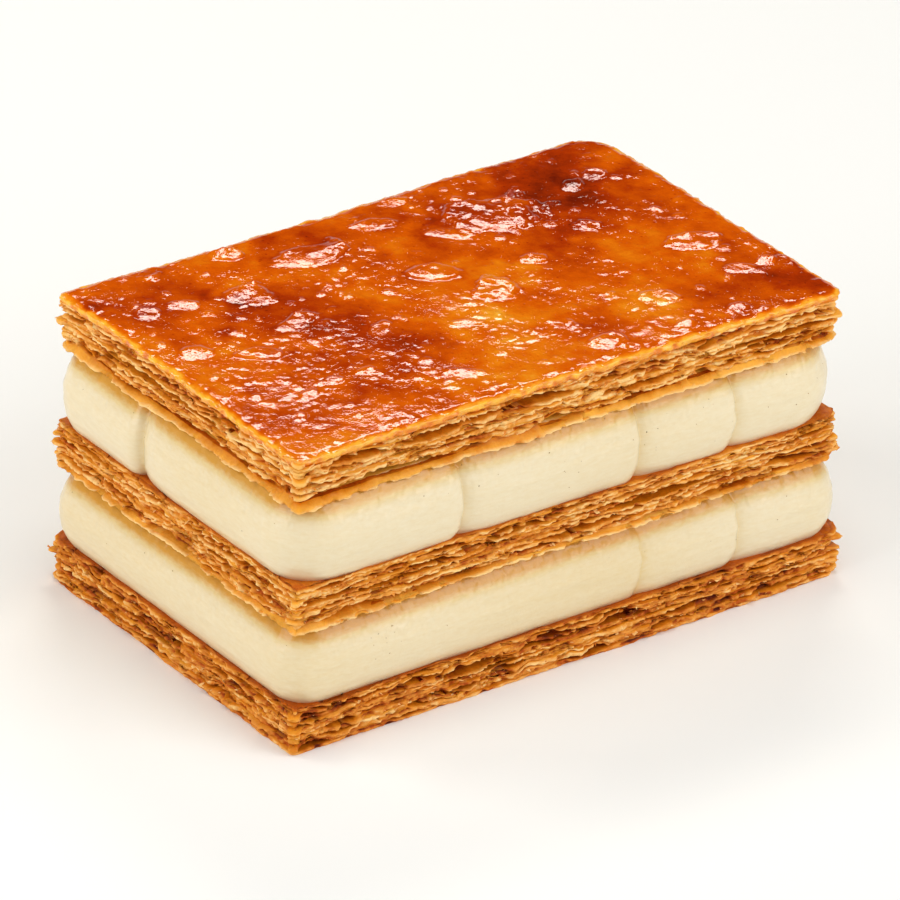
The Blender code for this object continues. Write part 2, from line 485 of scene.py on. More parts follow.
@dataclass(frozen=True)
class CreamFinish:
    """Set vanilla cream: custard folded with butter, piped thick and chilled until firm.

    It is ivory, opaque and slightly waxy, with a soft wide sheen; close up it has a fine drag texture
    from the nozzle, and it looks deeper yellow where little light reaches it under the pastry.

    Attributes:
        name: The material's name.
        tones: Colours from pale ivory to the gold of the shaded parts.
        places: Where on the scale of shade each colour stands.
        streak_size: Length of the drag streaks.
        flatness: How many times lower a streak is than it is long.
        fine_size: Size of the finest grain.
        streak_share: How much the streaks change the shade.
        least: The shade where they are 0.
        relief: Height of streaks and grain.
        relief_strength: How much of that relief shows.
    """

    name: str = "vanilla_cream"
    tones: tuple[str, ...] = ("#e9dbba", "#dec284", "#d29628")
    places: tuple[float, ...] = (0.0, 0.6, 1.0)
    streak_size: float = 1.4 * MM
    flatness: float = 3.5
    fine_size: float = 0.4 * MM
    streak_share: float = 0.45
    least: float = -0.2
    relief: float = 0.08 * MM
    relief_strength: float = 0.35

    def material(self) -> bpy.types.Material:
        """Return the material: one ramp over shade and streaks, under a soft waxy coat."""
        material, tree, shader = new_material(self.name, {
            "Roughness": 0.45, "IOR": 1.45, "Coat Weight": 0.7, "Coat Roughness": 0.26})
        place = add_node(tree, "ShaderNodeTexCoord").outputs["Object"]
        drawn = add_node(tree, "ShaderNodeMapping", {"Scale": (1.0, 1.0, self.flatness)}, {"Vector": place})
        streak = noise(tree, drawn.outputs[0], self.streak_size, Detail=5.0, Roughness=0.6)
        fine = noise(tree, place, self.fine_size, Detail=3.0)
        uneven = scaled_sum(tree, streak, self.streak_share, self.least)
        amount = scaled_sum(tree, mask(tree, "shade"), 1.0, uneven, clamp=True)
        tree.links.new(ramp(tree, amount, self.places, self.tones), shader["Base Color"])
        both = scaled_sum(tree, streak, 1.0, fine)
        tree.links.new(bump(tree, both, self.relief, self.relief_strength), shader["Normal"])
        return material


@dataclass(frozen=True)
class SpeckFinish:
    """Vanilla seeds and pod dust: tiny dry brown grains stirred into the cream.

    Attributes:
        name: The material's name.
        tones: The dark grains' colour and the light ones'.
        places: Where on the noise each colour stands.
        patch_size: Size of a patch within which the grains are alike.
    """

    name: str = "vanilla_seed"
    tones: tuple[str, ...] = ("#6e4a22", "#b48a4c")
    places: tuple[float, ...] = (0.35, 0.65)
    patch_size: float = 2.0 * MM

    def material(self) -> bpy.types.Material:
        """Return the material: dark and light brown grains told apart by a coarse noise."""
        material, tree, shader = new_material(self.name, {"Roughness": 0.6})
        place = add_node(tree, "ShaderNodeTexCoord").outputs["Object"]
        patch = noise(tree, place, self.patch_size)
        tree.links.new(ramp(tree, patch, self.places, self.tones), shader["Base Color"])
        return material


# ---------------------------------------------------------------------------------------------------
# Outlines and ringed surfaces
# ---------------------------------------------------------------------------------------------------


class Side(Enum):
    """The slice's four sides, in the order in which the outline passes them."""

    FRONT = 0
    RIGHT = 1
    BACK = 2
    LEFT = 3


@dataclass(frozen=True)
class Outline:
    """A rectangle with round corners, walked counter-clockwise from its front left corner.

    Attributes:
        length: Along X.
        width: Along Y.
        corners: The radii of the corners front left, front right, back right and back left.
        count: Stations, even along the way round.
    """

    length: float
    width: float
    corners: tuple[float, float, float, float]
    count: int

    def stations(self) -> tuple[np.ndarray, np.ndarray]:
        """Give even stations round the outline.

        The way round is four quarter circles joined by straight sides, measured by its length.

        Returns:
            Plan points and outward directions, each count by 2.
        """
        half = np.array((0.5 * self.length, 0.5 * self.width))
        angles, centres, radii = [], [], []
        for corner, (sign_x, sign_y) in enumerate(((-1, -1), (1, -1), (1, 1), (-1, 1))):
            sweep = np.linspace(0.5, 0.75, 33) + 0.25 * corner
            radius = self.corners[corner]
            angles.append(sweep)
            centres.append(np.tile((half - radius) * (sign_x, sign_y), (33, 1)))
            radii.append(np.full(33, radius))
        turn = np.concatenate(angles) * TURN
        outward = np.stack((np.cos(turn), np.sin(turn)), axis=1)
        points = np.concatenate(centres) + outward * np.concatenate(radii)[:, None]
        points = np.roll(points, -16, axis=0)
        outward = np.roll(outward, -16, axis=0)
        points = np.concatenate((points, points[:1]))
        outward = np.concatenate((outward, outward[:1]))
        way = np.concatenate(([0.0], np.cumsum(np.hypot(*np.diff(points, axis=0).T))))
        stops = way[-1] * np.arange(self.count) / self.count
        points = np.stack([np.interp(stops, way, points[:, axis]) for axis in (0, 1)], axis=1)
        outward = np.stack([np.interp(stops, way, outward[:, axis]) for axis in (0, 1)], axis=1)
        return points, outward / np.linalg.norm(outward, axis=1, keepdims=True)

    def around(self) -> float:
        """Return the length of the way round, near enough, from the sides alone."""
        return 2.0 * (self.length + self.width)

    def distance(self, side: Side, along: float) -> np.ndarray:
        """Measure from every station to one place on a side.

        Args:
            side: The side.
            along: How far along it, from its left end as one faces the slice from the front, from its
                front end on the right and left sides, and from its right end on the back.

        Returns:
            Signed distances in metres, shorter way round.
        """
        starts = {Side.FRONT: along, Side.RIGHT: self.length + along,
                  Side.BACK: self.length + self.width + along,
                  Side.LEFT: 2.0 * (self.length + self.width) - along}
        gap = self.around() * np.arange(self.count) / self.count - starts[side]
        return (gap + 0.5 * self.around()) % self.around() - 0.5 * self.around()


@dataclass
class RingSurface:
    """One closed skin: rings of points stacked from the bottom up, each end closed by a fan.

    Attributes:
        name: The piece's name.
        rings: Points, rows by stations by 3.
        masks: Named values, each rows by stations.
        strips: Into how many strips the bake map cuts the way round.
    """

    name: str
    rings: np.ndarray
    masks: dict[str, np.ndarray]
    strips: int = 4

    def build(self) -> bpy.types.Object:
        """Join neighbouring rings by quads and close both ends; return the object."""
        rows, count, _ = self.rings.shape
        grid = np.arange(rows * count).reshape(rows, count)
        after = np.roll(grid, -1, axis=1)
        quads = np.stack((grid[:-1], after[:-1], after[1:], grid[1:]), axis=-1).reshape(-1, 4)
        below = np.full(count, rows * count)
        floor = np.stack((after[0], grid[0], below), axis=-1)
        roof = np.stack((grid[-1], after[-1], below + 1), axis=-1)
        ends = np.stack((self.rings[0].mean(axis=0), self.rings[-1].mean(axis=0)))
        points = np.concatenate((self.rings.reshape(-1, 3), ends))
        masks = {key: np.concatenate((values.ravel(), (values[0].mean(), values[-1].mean())))
                 for key, values in self.masks.items()}
        return mesh_object(self.name, points, [quads, floor, roof], self.bake_map(rows, count), masks)

    def bake_map(self, rows: int, count: int) -> np.ndarray:
        """Lay the skin out flat: equal strips of the way round above one another, the fans above them.

        Args:
            rows: Rings.
            count: Stations in a ring.

        Returns:
            Map places for every face corner, in the order in which build makes the faces.
        """
        margin, used = 0.004, 0.95
        steps = np.linalg.norm(np.diff(self.rings, axis=0), axis=-1).mean(axis=1)
        rise = np.concatenate(([0.0], np.cumsum(steps + 0.02 * MM)))
        rise /= rise[-1]
        share = count // self.strips
        column = np.arange(count)
        strip = column // share
        left = margin + (column % share) / share * (1.0 - 2.0 * margin)
        right = margin + (column % share + 1) / share * (1.0 - 2.0 * margin)
        foot = strip / self.strips

        def height(level: np.ndarray) -> np.ndarray:
            """Return a level's place up its own strip."""
            return (foot[None] + (margin * 2 + level[:, None] * (1.0 - margin * 4)) / self.strips) * used

        low, high = height(rise[:-1]), height(rise[1:])
        left, right = np.broadcast_to(left, low.shape), np.broadcast_to(right, low.shape)
        quads = np.stack((np.stack((left, low), -1), np.stack((right, low), -1),
                          np.stack((right, high), -1), np.stack((left, high), -1)), axis=-2).reshape(-1, 2)
        turn = TURN * np.arange(count + 1) / count
        rim = 0.02 * np.stack((np.cos(turn), np.sin(turn)), axis=1)
        centre = np.zeros((count, 2))
        floor = np.stack((rim[1:], rim[:-1], centre), axis=1).reshape(-1, 2) + (0.03, 0.975)
        roof = np.stack((rim[:-1], rim[1:], centre), axis=1).reshape(-1, 2) + (0.08, 0.975)
        return np.concatenate((quads, floor, roof))


# ---------------------------------------------------------------------------------------------------
# Puff pastry
# ---------------------------------------------------------------------------------------------------


@dataclass(frozen=True)
class Pocket:
    """A long hollow where steam pushed two leaves apart, in millimetres.

    Attributes:
        side: The side that it opens on.
        along: Its middle, measured as Outline.distance says.
        reach: Half its length.
        seam: Which gap it is in, counted from the lowest.
        rise: Its height at the middle.
        depth: How far in it goes.
    """

    side: Side
    along: float
    reach: float
    seam: int
    rise: float
    depth: float


@dataclass
class LeafStack:
    """A stack of thin leaves seen from their cut edges, as one closed skin folded in at each gap.

    Every leaf is eight rings: in the gap below it, out along its underside, round its lip and back in
    along its upper face. Thicknesses and gaps are random curves round the slice, scaled at each
    station so that together they fill the height between floor and roof.

    Attributes:
        name: The piece's name.
        outline: The cut line.
        floor: Height of the lowest face at each station.
        roof: Height of the highest face at each station.
        leaves: How many leaves.
        seed: Picks the random curves.
        seams: How far each gap tends to open, from 0 for fused to 1 for parted.
        pockets: Hollows at set places.
        reach: How far each leaf stands out beyond the outline.
        droop: How far the lowest leaf's lip hangs below it, at each station.
        level_floor: Whether the underside is a flat to rest on.
        inner_floor: Height where the underside meets the piece below, deep inside.
        inner_roof: Height where the upper face meets the piece above, deep inside.
        tone: Added to the browning, from pale to dark.
        top_skin: 1 where the upper face is the browned outer skin.
        foot_share: Thickness of the lowest leaf as a share of a mean one.
        small_pockets: How many pockets at random places each gap gets.
        lip_share: How far along from the gap's depth to the lip's reach each of a leaf's rings is.
        lip_round: How far each ring stands out beyond that, counted in the leaf's thickness.
        lip_level: How far up the leaf's thickness each ring is.
        edge_share: How much of the cut edge's crumb each ring shows.
        under_insets: How far in the rings of the underside are, in millimetres.
        over_insets: The same for the upper face.
        skin_start: How much of the outer skin the top leaf's last rings show.
        filled: Height of a leaf with its gap, counted in leaves.
        hair_mean: Mean height of a fused gap, counted in leaves.
        recess_mean: Mean depth of a fused gap, in millimetres.
        parted_gain, parted_start: How openness and the random curve part a gap.
        parted_height, parted_depth: Height in leaves and depth in millimetres of a parted gap.
        torn_depth: How far a torn lip is set back, in millimetres.
        tip_droop: How far the lips hang at a corner, in millimetres.
        recess_shade_and_bake, tooth_tone, tip_tone, foot_tone: How much darker the recesses are made, partly as
        painted shade and partly as browning, and how much paler the teeth, the tips and a thin lowest leaf.
        thickness, hair, parting, recess: Waves of the leaves and of their gaps, as gaps says.
        pocket_wobble, pocket_ragged: Waves of a pocket's ends and of its height.
        band, sway, teeth, tear: Waves of the cut edge, in millimetres: of pairs of leaves, of each
            leaf, its fine teeth, and the places where it is torn off.
        curl: Waves of a lip up and down, in millimetres.
        bake, face_bake: Waves of the browning of lips and of flat faces.
        lips: The points on the lips once the stack is built.
    """

    name: str
    outline: Outline
    floor: np.ndarray
    roof: np.ndarray
    leaves: int
    seed: int
    seams: tuple[float, ...]
    pockets: tuple[Pocket, ...]
    reach: tuple[float, ...]
    droop: np.ndarray
    level_floor: bool
    inner_floor: float
    inner_roof: float
    tone: float
    top_skin: float = 0.0
    foot_share: float = 1.0
    small_pockets: int = 11
    lip_share: tuple[float, ...] = (0.0, 0.8, 1.0, 1.0, 1.0, 1.0, 0.8, 0.0)
    lip_round: tuple[float, ...] = (0.0, 0.0, -0.13, 0.0, 0.0, -0.13, 0.0, 0.0)
    lip_level: tuple[float, ...] = (0.0, 0.0, 0.10, 0.34, 0.68, 0.92, 1.0, 1.0)
    edge_share: tuple[float, ...] = (0.0, 0.1, 0.8, 1.0, 1.0, 0.8, 0.1, 0.0)
    under_insets: tuple[float, ...] = (9.0, 5.5, 3.2, 1.6, 0.7)
    over_insets: tuple[float, ...] = (0.5, 1.2, 2.2, 3.6, 5.6, 9.0)
    skin_start: tuple[float, ...] = (0.25, 0.7, 0.9)
    filled: float = 1.35
    hair_mean: float = 0.12
    recess_mean: float = 0.14
    parted_gain: float = 2.1
    parted_start: float = 1.15
    parted_height: float = 1.2
    parted_depth: float = 2.6
    torn_depth: float = 0.7
    tip_droop: float = 0.18
    recess_shade_and_bake: float = 0.72
    tooth_tone: float = 0.4
    tip_tone: float = 0.22
    foot_tone: float = 0.16
    thickness: Waves = ((44, 0.34), (130, 0.30), (430, 0.10))
    hair: Waves = ((210, 0.20), (60, 0.12))
    parting: Waves = ((26, 1.0), (75, 0.45))
    recess: Waves = ((95, 0.46), (260, 0.28))
    pocket_wobble: Waves = ((140, 0.12),)
    pocket_ragged: Waves = ((120, 0.25),)
    band: Waves = ((30, 1.0),)
    sway: Waves = ((84, 0.26),)
    teeth: Waves = ((280, 0.17), (700, 0.15))
    tear: Waves = ((70, 1.0),)
    curl: Waves = ((100, 0.14), (330, 0.07), (700, 0.03))
    bake: Waves = ((24, 0.16), (120, 0.12))
    face_bake: Waves = ((40, 0.2),)
    lips: np.ndarray = field(default_factory=lambda: np.zeros((0, 3)))

    def gaps(self, rng: np.random.Generator, leaf_height: float) -> tuple[np.ndarray, np.ndarray]:
        """Give the gaps between leaves.

        A fused gap is a hair line that comes and goes. A parted one is the positive part of a slow
        random curve. A pocket adds a lens, which is a power of 1 - d^2 within its length.

        Args:
            rng: Source of the random curves.
            leaf_height: Height of a mean leaf, which the result is counted in.

        Returns:
            Heights counted in leaves, and depths in metres, each leaves - 1 by count.
        """
        count, gaps = self.outline.count, self.leaves - 1
        openness = np.array(self.seams)[:, None]
        hair = self.hair_mean + waves(count, self.hair, rng, gaps)
        slow = waves(count, self.parting, rng, gaps)
        parted = np.clip(slow + self.parted_gain * openness - self.parted_start, 0.0, 1.3) ** 0.8
        height = np.clip(hair, 0.02, 1.0) + parted * self.parted_height
        recess = np.clip(self.recess_mean + waves(count, self.recess, rng, gaps), -0.03, None)
        depth = (recess + parted * self.parted_depth) * MM
        for pocket in self.pockets + self.more_pockets(rng):
            away = self.outline.distance(pocket.side, pocket.along * MM) / (pocket.reach * MM)
            away = away + waves(count, self.pocket_wobble, rng)[0]
            lens = np.clip(1.0 - away ** 2, 0.0, 1.0)
            ragged = 1.0 + waves(count, self.pocket_ragged, rng)[0]
            height[pocket.seam] += lens ** 0.75 * ragged * pocket.rise * MM / leaf_height
            depth[pocket.seam] = np.maximum(depth[pocket.seam], lens ** 0.45 * pocket.depth * MM)
        return height, depth

    def more_pockets(self, rng: np.random.Generator) -> tuple[Pocket, ...]:
        """Return small pockets at random places round the slice, a few in every gap."""
        around = self.outline.around() / MM
        return tuple(Pocket(Side.FRONT, rng.uniform(0.0, around), rng.uniform(1.6, 5.0), seam,
                            rng.uniform(0.25, 0.7), rng.uniform(1.6, 3.4))
                     for seam in range(self.leaves - 1) for _ in range(self.small_pockets))

    def corner_tips(self) -> np.ndarray:
        """Return 1 at each corner of the outline, falling off to both sides as a bell 1.1 mm wide."""
        outline = self.outline
        away = [outline.distance(side, 0.0) for side in (Side.FRONT, Side.RIGHT, Side.BACK)]
        away.append(outline.distance(Side.LEFT, outline.width))
        return np.exp(-(np.abs(away).min(axis=0) / (1.1 * MM)) ** 2)

    def leaf_rings(self, rng: np.random.Generator) -> tuple[np.ndarray, np.ndarray, dict[str, np.ndarray]]:
        """Fold the wall round every leaf.

        Each ring lies between the gap's depth and the lip's reach, and between the leaf's lower and
        upper face, by the class's shares.

        Args:
            rng: Source of the random curves.

        Returns:
            Outward reach and height, each 8 x leaves by count, and the masks in the same shape.
        """
        count, leaves = self.outline.count, self.leaves
        leaf_height = float((self.roof - self.floor).mean()) / (leaves * self.filled)
        thick = np.clip(1.0 + waves(count, self.thickness, rng, leaves), 0.3, None)
        thick[0] *= self.foot_share
        gap, depth = self.gaps(rng, leaf_height)
        parts = np.empty((2 * leaves - 1, count))
        parts[0::2] = thick
        parts[1::2] = gap
        levels = np.concatenate((np.zeros((1, count)), np.cumsum(parts, axis=0)))
        levels = self.floor + levels / levels[-1] * (self.roof - self.floor)
        under, over = levels[0::2][:leaves], levels[1::2]
        band = np.repeat(waves(count, self.band, rng, (leaves + 1) // 2), 2, axis=0)[:leaves]
        teeth = waves(count, self.teeth, rng, leaves)
        reach = np.array(self.reach)[:, None] + 0.30 * band + waves(count, self.sway, rng, leaves) + teeth
        torn = smooth(0.35, 0.75, waves(count, self.tear, rng, leaves))
        tips = self.corner_tips()
        if self.foot_share < 1.0:
            reach[0] = self.reach[0] + 0.35 * band[0] + 0.8 * teeth[0] - 0.9 * tips
            torn[0] = 0.0
        if self.level_floor:
            reach[0] = self.reach[0] + 0.3 * (reach[0] - self.reach[0])
            torn[0] *= 0.2
        reach = reach - self.torn_depth * torn * (1.0 - tips)
        reach = (reach + rng.uniform(-0.7, 1.0, (leaves, 1)) * tips) * MM
        recess_below = np.concatenate((np.full((1, count), 0.6 * MM), depth))
        recess_above = np.concatenate((depth, np.full((1, count), 0.3 * MM)))
        share = np.array(self.lip_share)[None, :, None]
        lower_half = np.arange(8)[None, :, None] < 4
        recess = np.where(lower_half, recess_below[:, None], recess_above[:, None])
        tall = (over - under)[:, None]
        out = reach[:, None] * share - recess * (1.0 - share) + np.array(self.lip_round)[None, :, None] * tall
        curl = waves(count, self.curl, rng, leaves) * MM
        curl[0] -= self.droop
        curl -= self.tip_droop * MM * tips
        if self.level_floor:
            curl[0] = np.clip(curl[0], 0.0, None)
        height = under[:, None] + np.array(self.lip_level)[None, :, None] * tall + curl[:, None] * share ** 1.5
        tone = 0.30 + self.tone + waves(count, self.bake, rng, leaves)
        if self.foot_share < 1.0:
            tone[0] -= self.foot_tone
        # Painted shade: the further in a ring lies, the darker it is made, partly as shade and partly as
        # browning.
        deep = np.clip(-out / (1.5 * MM), 0.0, 1.0)
        browning = (tone[:, None] + self.recess_shade_and_bake * deep - self.tooth_tone * (teeth[:, None] + 0.1) * share
                    - self.tip_tone * tips * share)
        edge = np.array(self.edge_share)[None, :, None] * (1.0 - 0.6 * tips) * np.ones_like(out)
        masks = {"browning": browning, "edge": edge, "skin": np.zeros_like(out)}
        return (out.reshape(-1, count), height.reshape(-1, count),
                {key: values.reshape(-1, count) for key, values in masks.items()})

    def build(self) -> bpy.types.Object:
        """Build the folded wall with its underside and upper face; return the object."""
        count = self.outline.count
        rng = np.random.default_rng(self.seed)
        out, height, masks = self.leaf_rings(rng)
        under = -np.array(self.under_insets)[:, None] * MM * np.ones(count)
        over = -np.array(self.over_insets)[:, None] * MM * np.ones(count)
        sunk = smooth(1.0 * MM, 5.5 * MM, -under)
        raised = smooth(1.0 * MM, 5.5 * MM, -over)
        under_height = self.floor * (1.0 - sunk) + self.inner_floor * sunk
        over_height = self.roof * (1.0 - raised) + self.inner_roof * raised
        out = np.concatenate((under, out, over))
        height = np.concatenate((under_height, height, over_height))
        first, last = len(under), len(over)
        for key, under_value, over_value in (("edge", 0.0, 0.0), ("skin", 1.0, self.top_skin)):
            masks[key] = np.concatenate((np.full((first, count), under_value), masks[key],
                                         np.full((last, count), over_value)))
        masks["skin"][-last - 3:-last] = self.top_skin * np.array(self.skin_start)[:, None]
        faces = 0.45 + self.tone + waves(count, self.face_bake, rng, first + last)
        masks["browning"] = np.concatenate((faces[:first], masks["browning"], faces[first:]))
        plan, outward = self.outline.stations()
        rings = np.empty((len(out), count, 3))
        rings[..., :2] = plan[None] + outward[None] * out[..., None]
        rings[..., 2] = height
        rough = self.roughen(rings, masks)
        # Adds the holes' painted shade and the lumps' paler tone to the browning.
        masks["browning"] = masks["browning"] + rough[2]
        calm = 0.3 + 0.7 * smooth(0.4 * MM, 1.6 * MM, height - self.floor) if self.level_floor else 1.0
        rings[..., :2] += outward[None] * (rough[0] * calm)[..., None]
        rings[..., 2] += rough[1]
        if self.level_floor:
            rings[..., 2] = np.maximum(rings[..., 2], float(self.floor.min()))
            rings[:first, :, 2] = float(self.floor.min())
        lips = rings[first + 4:len(rings) - last:8]
        self.lips = lips.reshape(-1, 3)
        return RingSurface(self.name, rings, masks).build()

    def roughen(self, rings: np.ndarray, masks: dict[str, np.ndarray]) -> tuple[np.ndarray, ...]:
        """Give the crumb its own relief: flattened lumps and holes on the lips, wrinkles on the faces.

        Lumps are two octaves of grain drawn out along the leaves. A hole opens where a coarser grain
        is high, by the cubic rise, so that its rim is sharp. The first and last ring keep still.

        Args:
            rings: The smooth surface.
            masks: Its masks, of which edge tells lip from face.

        Returns:
            How far to move each point outwards and upwards, and what to add to the browning, which is
            painted shade in the holes and a paler tone on the lumps.
        """
        edge, skin = masks["edge"], masks["skin"]
        lump = grain(rings, (1.5 * MM, 1.5 * MM, 0.5 * MM), self.seed, 2)
        hole = smooth(0.20, 0.45, grain(rings, (2.4 * MM, 2.4 * MM, 0.75 * MM), self.seed + 20, 2)) * edge
        lift = grain(rings, (1.1 * MM, 1.1 * MM, 0.8 * MM), self.seed + 50, 2)
        wrinkle = grain(rings, 2.2 * MM, self.seed + 90, 3)
        outwards = (lump * (0.05 + 0.24 * edge) - 0.9 * hole) * MM
        upwards = (lift * 0.17 * edge + wrinkle * (0.10 + 0.16 * skin) * (1.0 - edge)) * MM
        quiet = np.ones(len(rings))[:, None]
        quiet[0] = quiet[-1] = 0.0
        # Painted shade darkens the holes; the lumps are made paler.
        return outwards * quiet, upwards * quiet, 0.5 * hole - 0.25 * lump * edge


@dataclass
class Pastry:
    """One puff pastry layer: a lower and an upper stack of leaves with a parted seam between them.

    Attributes:
        node: The CAD node that it stands for.
        seed: Picks its random curves.
        leaves: Leaves in the lower and the upper stack.
        lower_seams: How far each gap of the lower stack opens.
        upper_seams: How far each gap of the upper stack opens.
        lower_pockets: Hollows of the lower stack.
        upper_pockets: Hollows of the upper stack.
        middle_pockets: Hollows of the seam between the stacks.
        lower_reach: How far the lower stack's leaves stand out, in millimetres.
        upper_reach: The same for the upper stack.
        corners: Corner radii.
        droop: How far the lowest lip hangs.
        corner_droop: How much further it hangs at the front left corner.
        headroom: How far the upper face lies below the CAD node's top.
        foot_share: Thickness of the lowest leaf as a share of a mean one.
        tone: Added to the browning.
        top_skin: 1 where the upper face is the browned outer skin.
        level_floor: Whether the underside is a flat to rest on.
        lift: How far the wavy faces rise and fall.
        finish: What it is made of.
        split: Where the seam between the stacks lies, as a share of the height.
        seam_openness: How far that seam opens, from 0 for shut to 1 for parted.
        count: Stations round the slice.
        cut_inset: How far inside the CAD node's sides the mean cut line runs.
        seam_sway, seam_parting, corner_sway, face_waves: Waves of the seam's height and opening, of
            the drooping lip and of the wavy faces.
        stacks: Both stacks once they are built.
    """

    node: str
    seed: int
    leaves: tuple[int, int]
    lower_seams: tuple[float, ...]
    upper_seams: tuple[float, ...]
    lower_pockets: tuple[Pocket, ...]
    upper_pockets: tuple[Pocket, ...]
    middle_pockets: tuple[Pocket, ...]
    lower_reach: tuple[float, ...]
    upper_reach: tuple[float, ...]
    finish: CrumbFinish
    corners: tuple[float, float, float, float] = (0.4 * MM, 0.6 * MM, 1.2 * MM, 0.6 * MM)
    headroom: float = 0.12 * MM
    foot_share: float = 1.0
    droop: float = 0.0
    corner_droop: float = 0.0
    tone: float = 0.0
    top_skin: float = 1.0
    level_floor: bool = False
    lift: float = 0.12 * MM
    split: float = 0.5
    seam_openness: float = 0.45
    count: int = 1600
    cut_inset: float = 0.15 * MM
    seam_sway: Waves = ((20, 0.03),)
    seam_parting: Waves = ((20, 1.0), (64, 0.4))
    corner_sway: Waves = ((40, 0.35),)
    face_waves: Waves = ((14, 1.0),)
    stacks: list[LeafStack] = field(default_factory=list)

    def build(self) -> list[bpy.types.Object]:
        """Build both stacks, dress them and hide the CAD node; return the two pieces."""
        low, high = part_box(self.node)
        outline = Outline(high.x - low.x - 2.0 * self.cut_inset, high.y - low.y - 2.0 * self.cut_inset,
                          self.corners, self.count)
        rng = np.random.default_rng(self.seed)
        base, top = self.faces(low.z, high.z, outline, rng)
        seam = base + (top - base) * (self.split + waves(self.count, self.seam_sway, rng)[0])
        slow = waves(self.count, self.seam_parting, rng)[0]
        opening = np.clip(slow + 2.0 * self.seam_openness - 1.0, 0.05, 1.2) * 0.55 * MM
        for pocket in self.middle_pockets:
            away = outline.distance(pocket.side, pocket.along * MM) / (pocket.reach * MM)
            opening += np.sqrt(np.clip(1.0 - away ** 2, 0.0, 1.0)) * pocket.rise * MM
        inner = 0.5 * float((base + top).mean())
        corner = np.exp(-(outline.distance(Side.FRONT, 0.0) / (9.0 * MM)) ** 2)
        droop = self.droop * (1.0 + waves(self.count, self.corner_sway, rng)[0]) + self.corner_droop * corner
        still = np.zeros(self.count)
        lower = LeafStack(f"{self.node}_lower_leaves", outline, base, seam - 0.5 * opening, self.leaves[0],
                          self.seed + 1, self.lower_seams, self.lower_pockets, self.lower_reach, droop,
                          self.level_floor, float(base.mean()), inner, self.tone)
        lower.foot_share = self.foot_share
        upper = LeafStack(f"{self.node}_upper_leaves", outline, seam + 0.5 * opening, top, self.leaves[1],
                          self.seed + 2, self.upper_seams, self.upper_pockets, self.upper_reach, still,
                          False, inner, float(top.mean()), self.tone, top_skin=self.top_skin)
        self.stacks = [lower, upper]
        return [dress(stack.build(), self.finish, self.node) for stack in self.stacks]

    def faces(self, low: float, high: float, outline: Outline,
              rng: np.random.Generator) -> tuple[np.ndarray, np.ndarray]:
        """Give the heights of the lower and upper face, each a slow wave round the slice.

        Args:
            low: The layer's lowest height.
            high: Its highest.
            outline: The cut line.
            rng: Source of the waves.

        Returns:
            Two curves of heights.
        """
        base = np.full(outline.count, low)
        if not self.level_floor:
            base = base + self.droop + self.lift * waves(outline.count, self.face_waves, rng)[0]
        top = high - self.headroom + self.lift * waves(outline.count, self.face_waves, rng)[0]
        return base, top


# ---------------------------------------------------------------------------------------------------
# Glaze
# ---------------------------------------------------------------------------------------------------


@dataclass(frozen=True)
class Blister:
    """A steam blister in the glazed leaf.

    Attributes:
        x: Its middle along the length, from -1 to 1.
        y: Its middle across the width, from -1 to 1.
        long: Half its length, in millimetres.
        wide: Half its width, in millimetres.
        turn: Its bearing in degrees from the length.
        rise: Its height, in millimetres.
        heat: How much darker it baked.
    """

    x: float
    y: float
    long: float
    wide: float
    turn: float
    rise: float
    heat: float = 0.0


BLISTERS = (
    Blister(-0.52, 0.13, 3.4, 2.0, 12, 0.50), Blister(-0.71, -0.06, 3.4, 2.1, -25, 0.65, 0.1),
    Blister(-0.88, 0.14, 2.4, 1.8, -20, 0.45), Blister(-0.86, 0.58, 2.4, 1.7, 5, 0.45),
    Blister(-0.74, 0.57, 2.5, 1.3, -30, 0.40), Blister(-0.54, 0.50, 4.6, 3.4, -8, 0.75, 0.12),
    Blister(-0.23, 0.68, 5.6, 3.4, -10, 0.75), Blister(-0.45, 0.90, 3.0, 2.0, -30, 0.80, 0.05),
    Blister(-0.72, 0.88, 2.0, 1.3, 10, 0.35), Blister(-0.75, -0.50, 1.9, 1.1, 30, 0.30),
    Blister(-0.63, -0.44, 1.9, 1.4, -15, 0.35, 0.1), Blister(0.05, 0.77, 3.6, 1.8, -25, 0.45),
    Blister(0.01, 0.19, 5.2, 3.0, -38, 0.75), Blister(0.11, -0.12, 4.6, 3.8, 35, 0.95),
    Blister(0.33, 0.04, 2.4, 1.8, -10, 0.45), Blister(0.37, 0.55, 8.6, 5.2, -12, 1.05, 0.2),
    Blister(0.22, 0.48, 3.4, 1.6, -40, 0.35), Blister(0.20, 0.92, 2.6, 1.2, 0, 0.40),
    Blister(0.19, -0.83, 2.8, 2.0, 8, 0.60, 0.1), Blister(-0.10, -0.31, 2.6, 1.2, -20, 0.30),
    Blister(-0.52, -0.45, 1.8, 1.1, 0, 0.30), Blister(0.79, -0.20, 4.4, 2.6, -22, 0.60, 0.05),
    Blister(0.82, -0.55, 2.4, 1.4, -35, 0.45), Blister(0.92, -0.56, 1.8, 1.4, 20, 0.50),
    Blister(0.50, -0.61, 3.8, 2.2, -35, 0.45), Blister(0.66, -0.88, 2.2, 1.5, 0, 0.40),
    Blister(0.46, -0.89, 2.0, 1.0, 15, 0.35), Blister(0.72, 0.59, 2.6, 2.0, 40, 0.55, 0.15),
    Blister(0.82, 0.63, 1.9, 1.6, 0, 0.45, 0.15), Blister(-0.28, -0.72, 2.2, 1.4, -30, 0.30, 0.1),
    Blister(0.60, 0.20, 2.6, 1.6, -15, 0.35), Blister(-0.33, -0.15, 2.4, 1.5, 25, 0.30),
)


@dataclass(frozen=True)
class Scorch:
    """A patch of the glaze that baked darker, or paler where heat is negative.

    Attributes:
        x: Its middle along the length, from -1 to 1.
        y: Its middle across the width, from -1 to 1.
        size: Its radius, in millimetres.
        heat: How much darker it is.
    """

    x: float
    y: float
    size: float
    heat: float


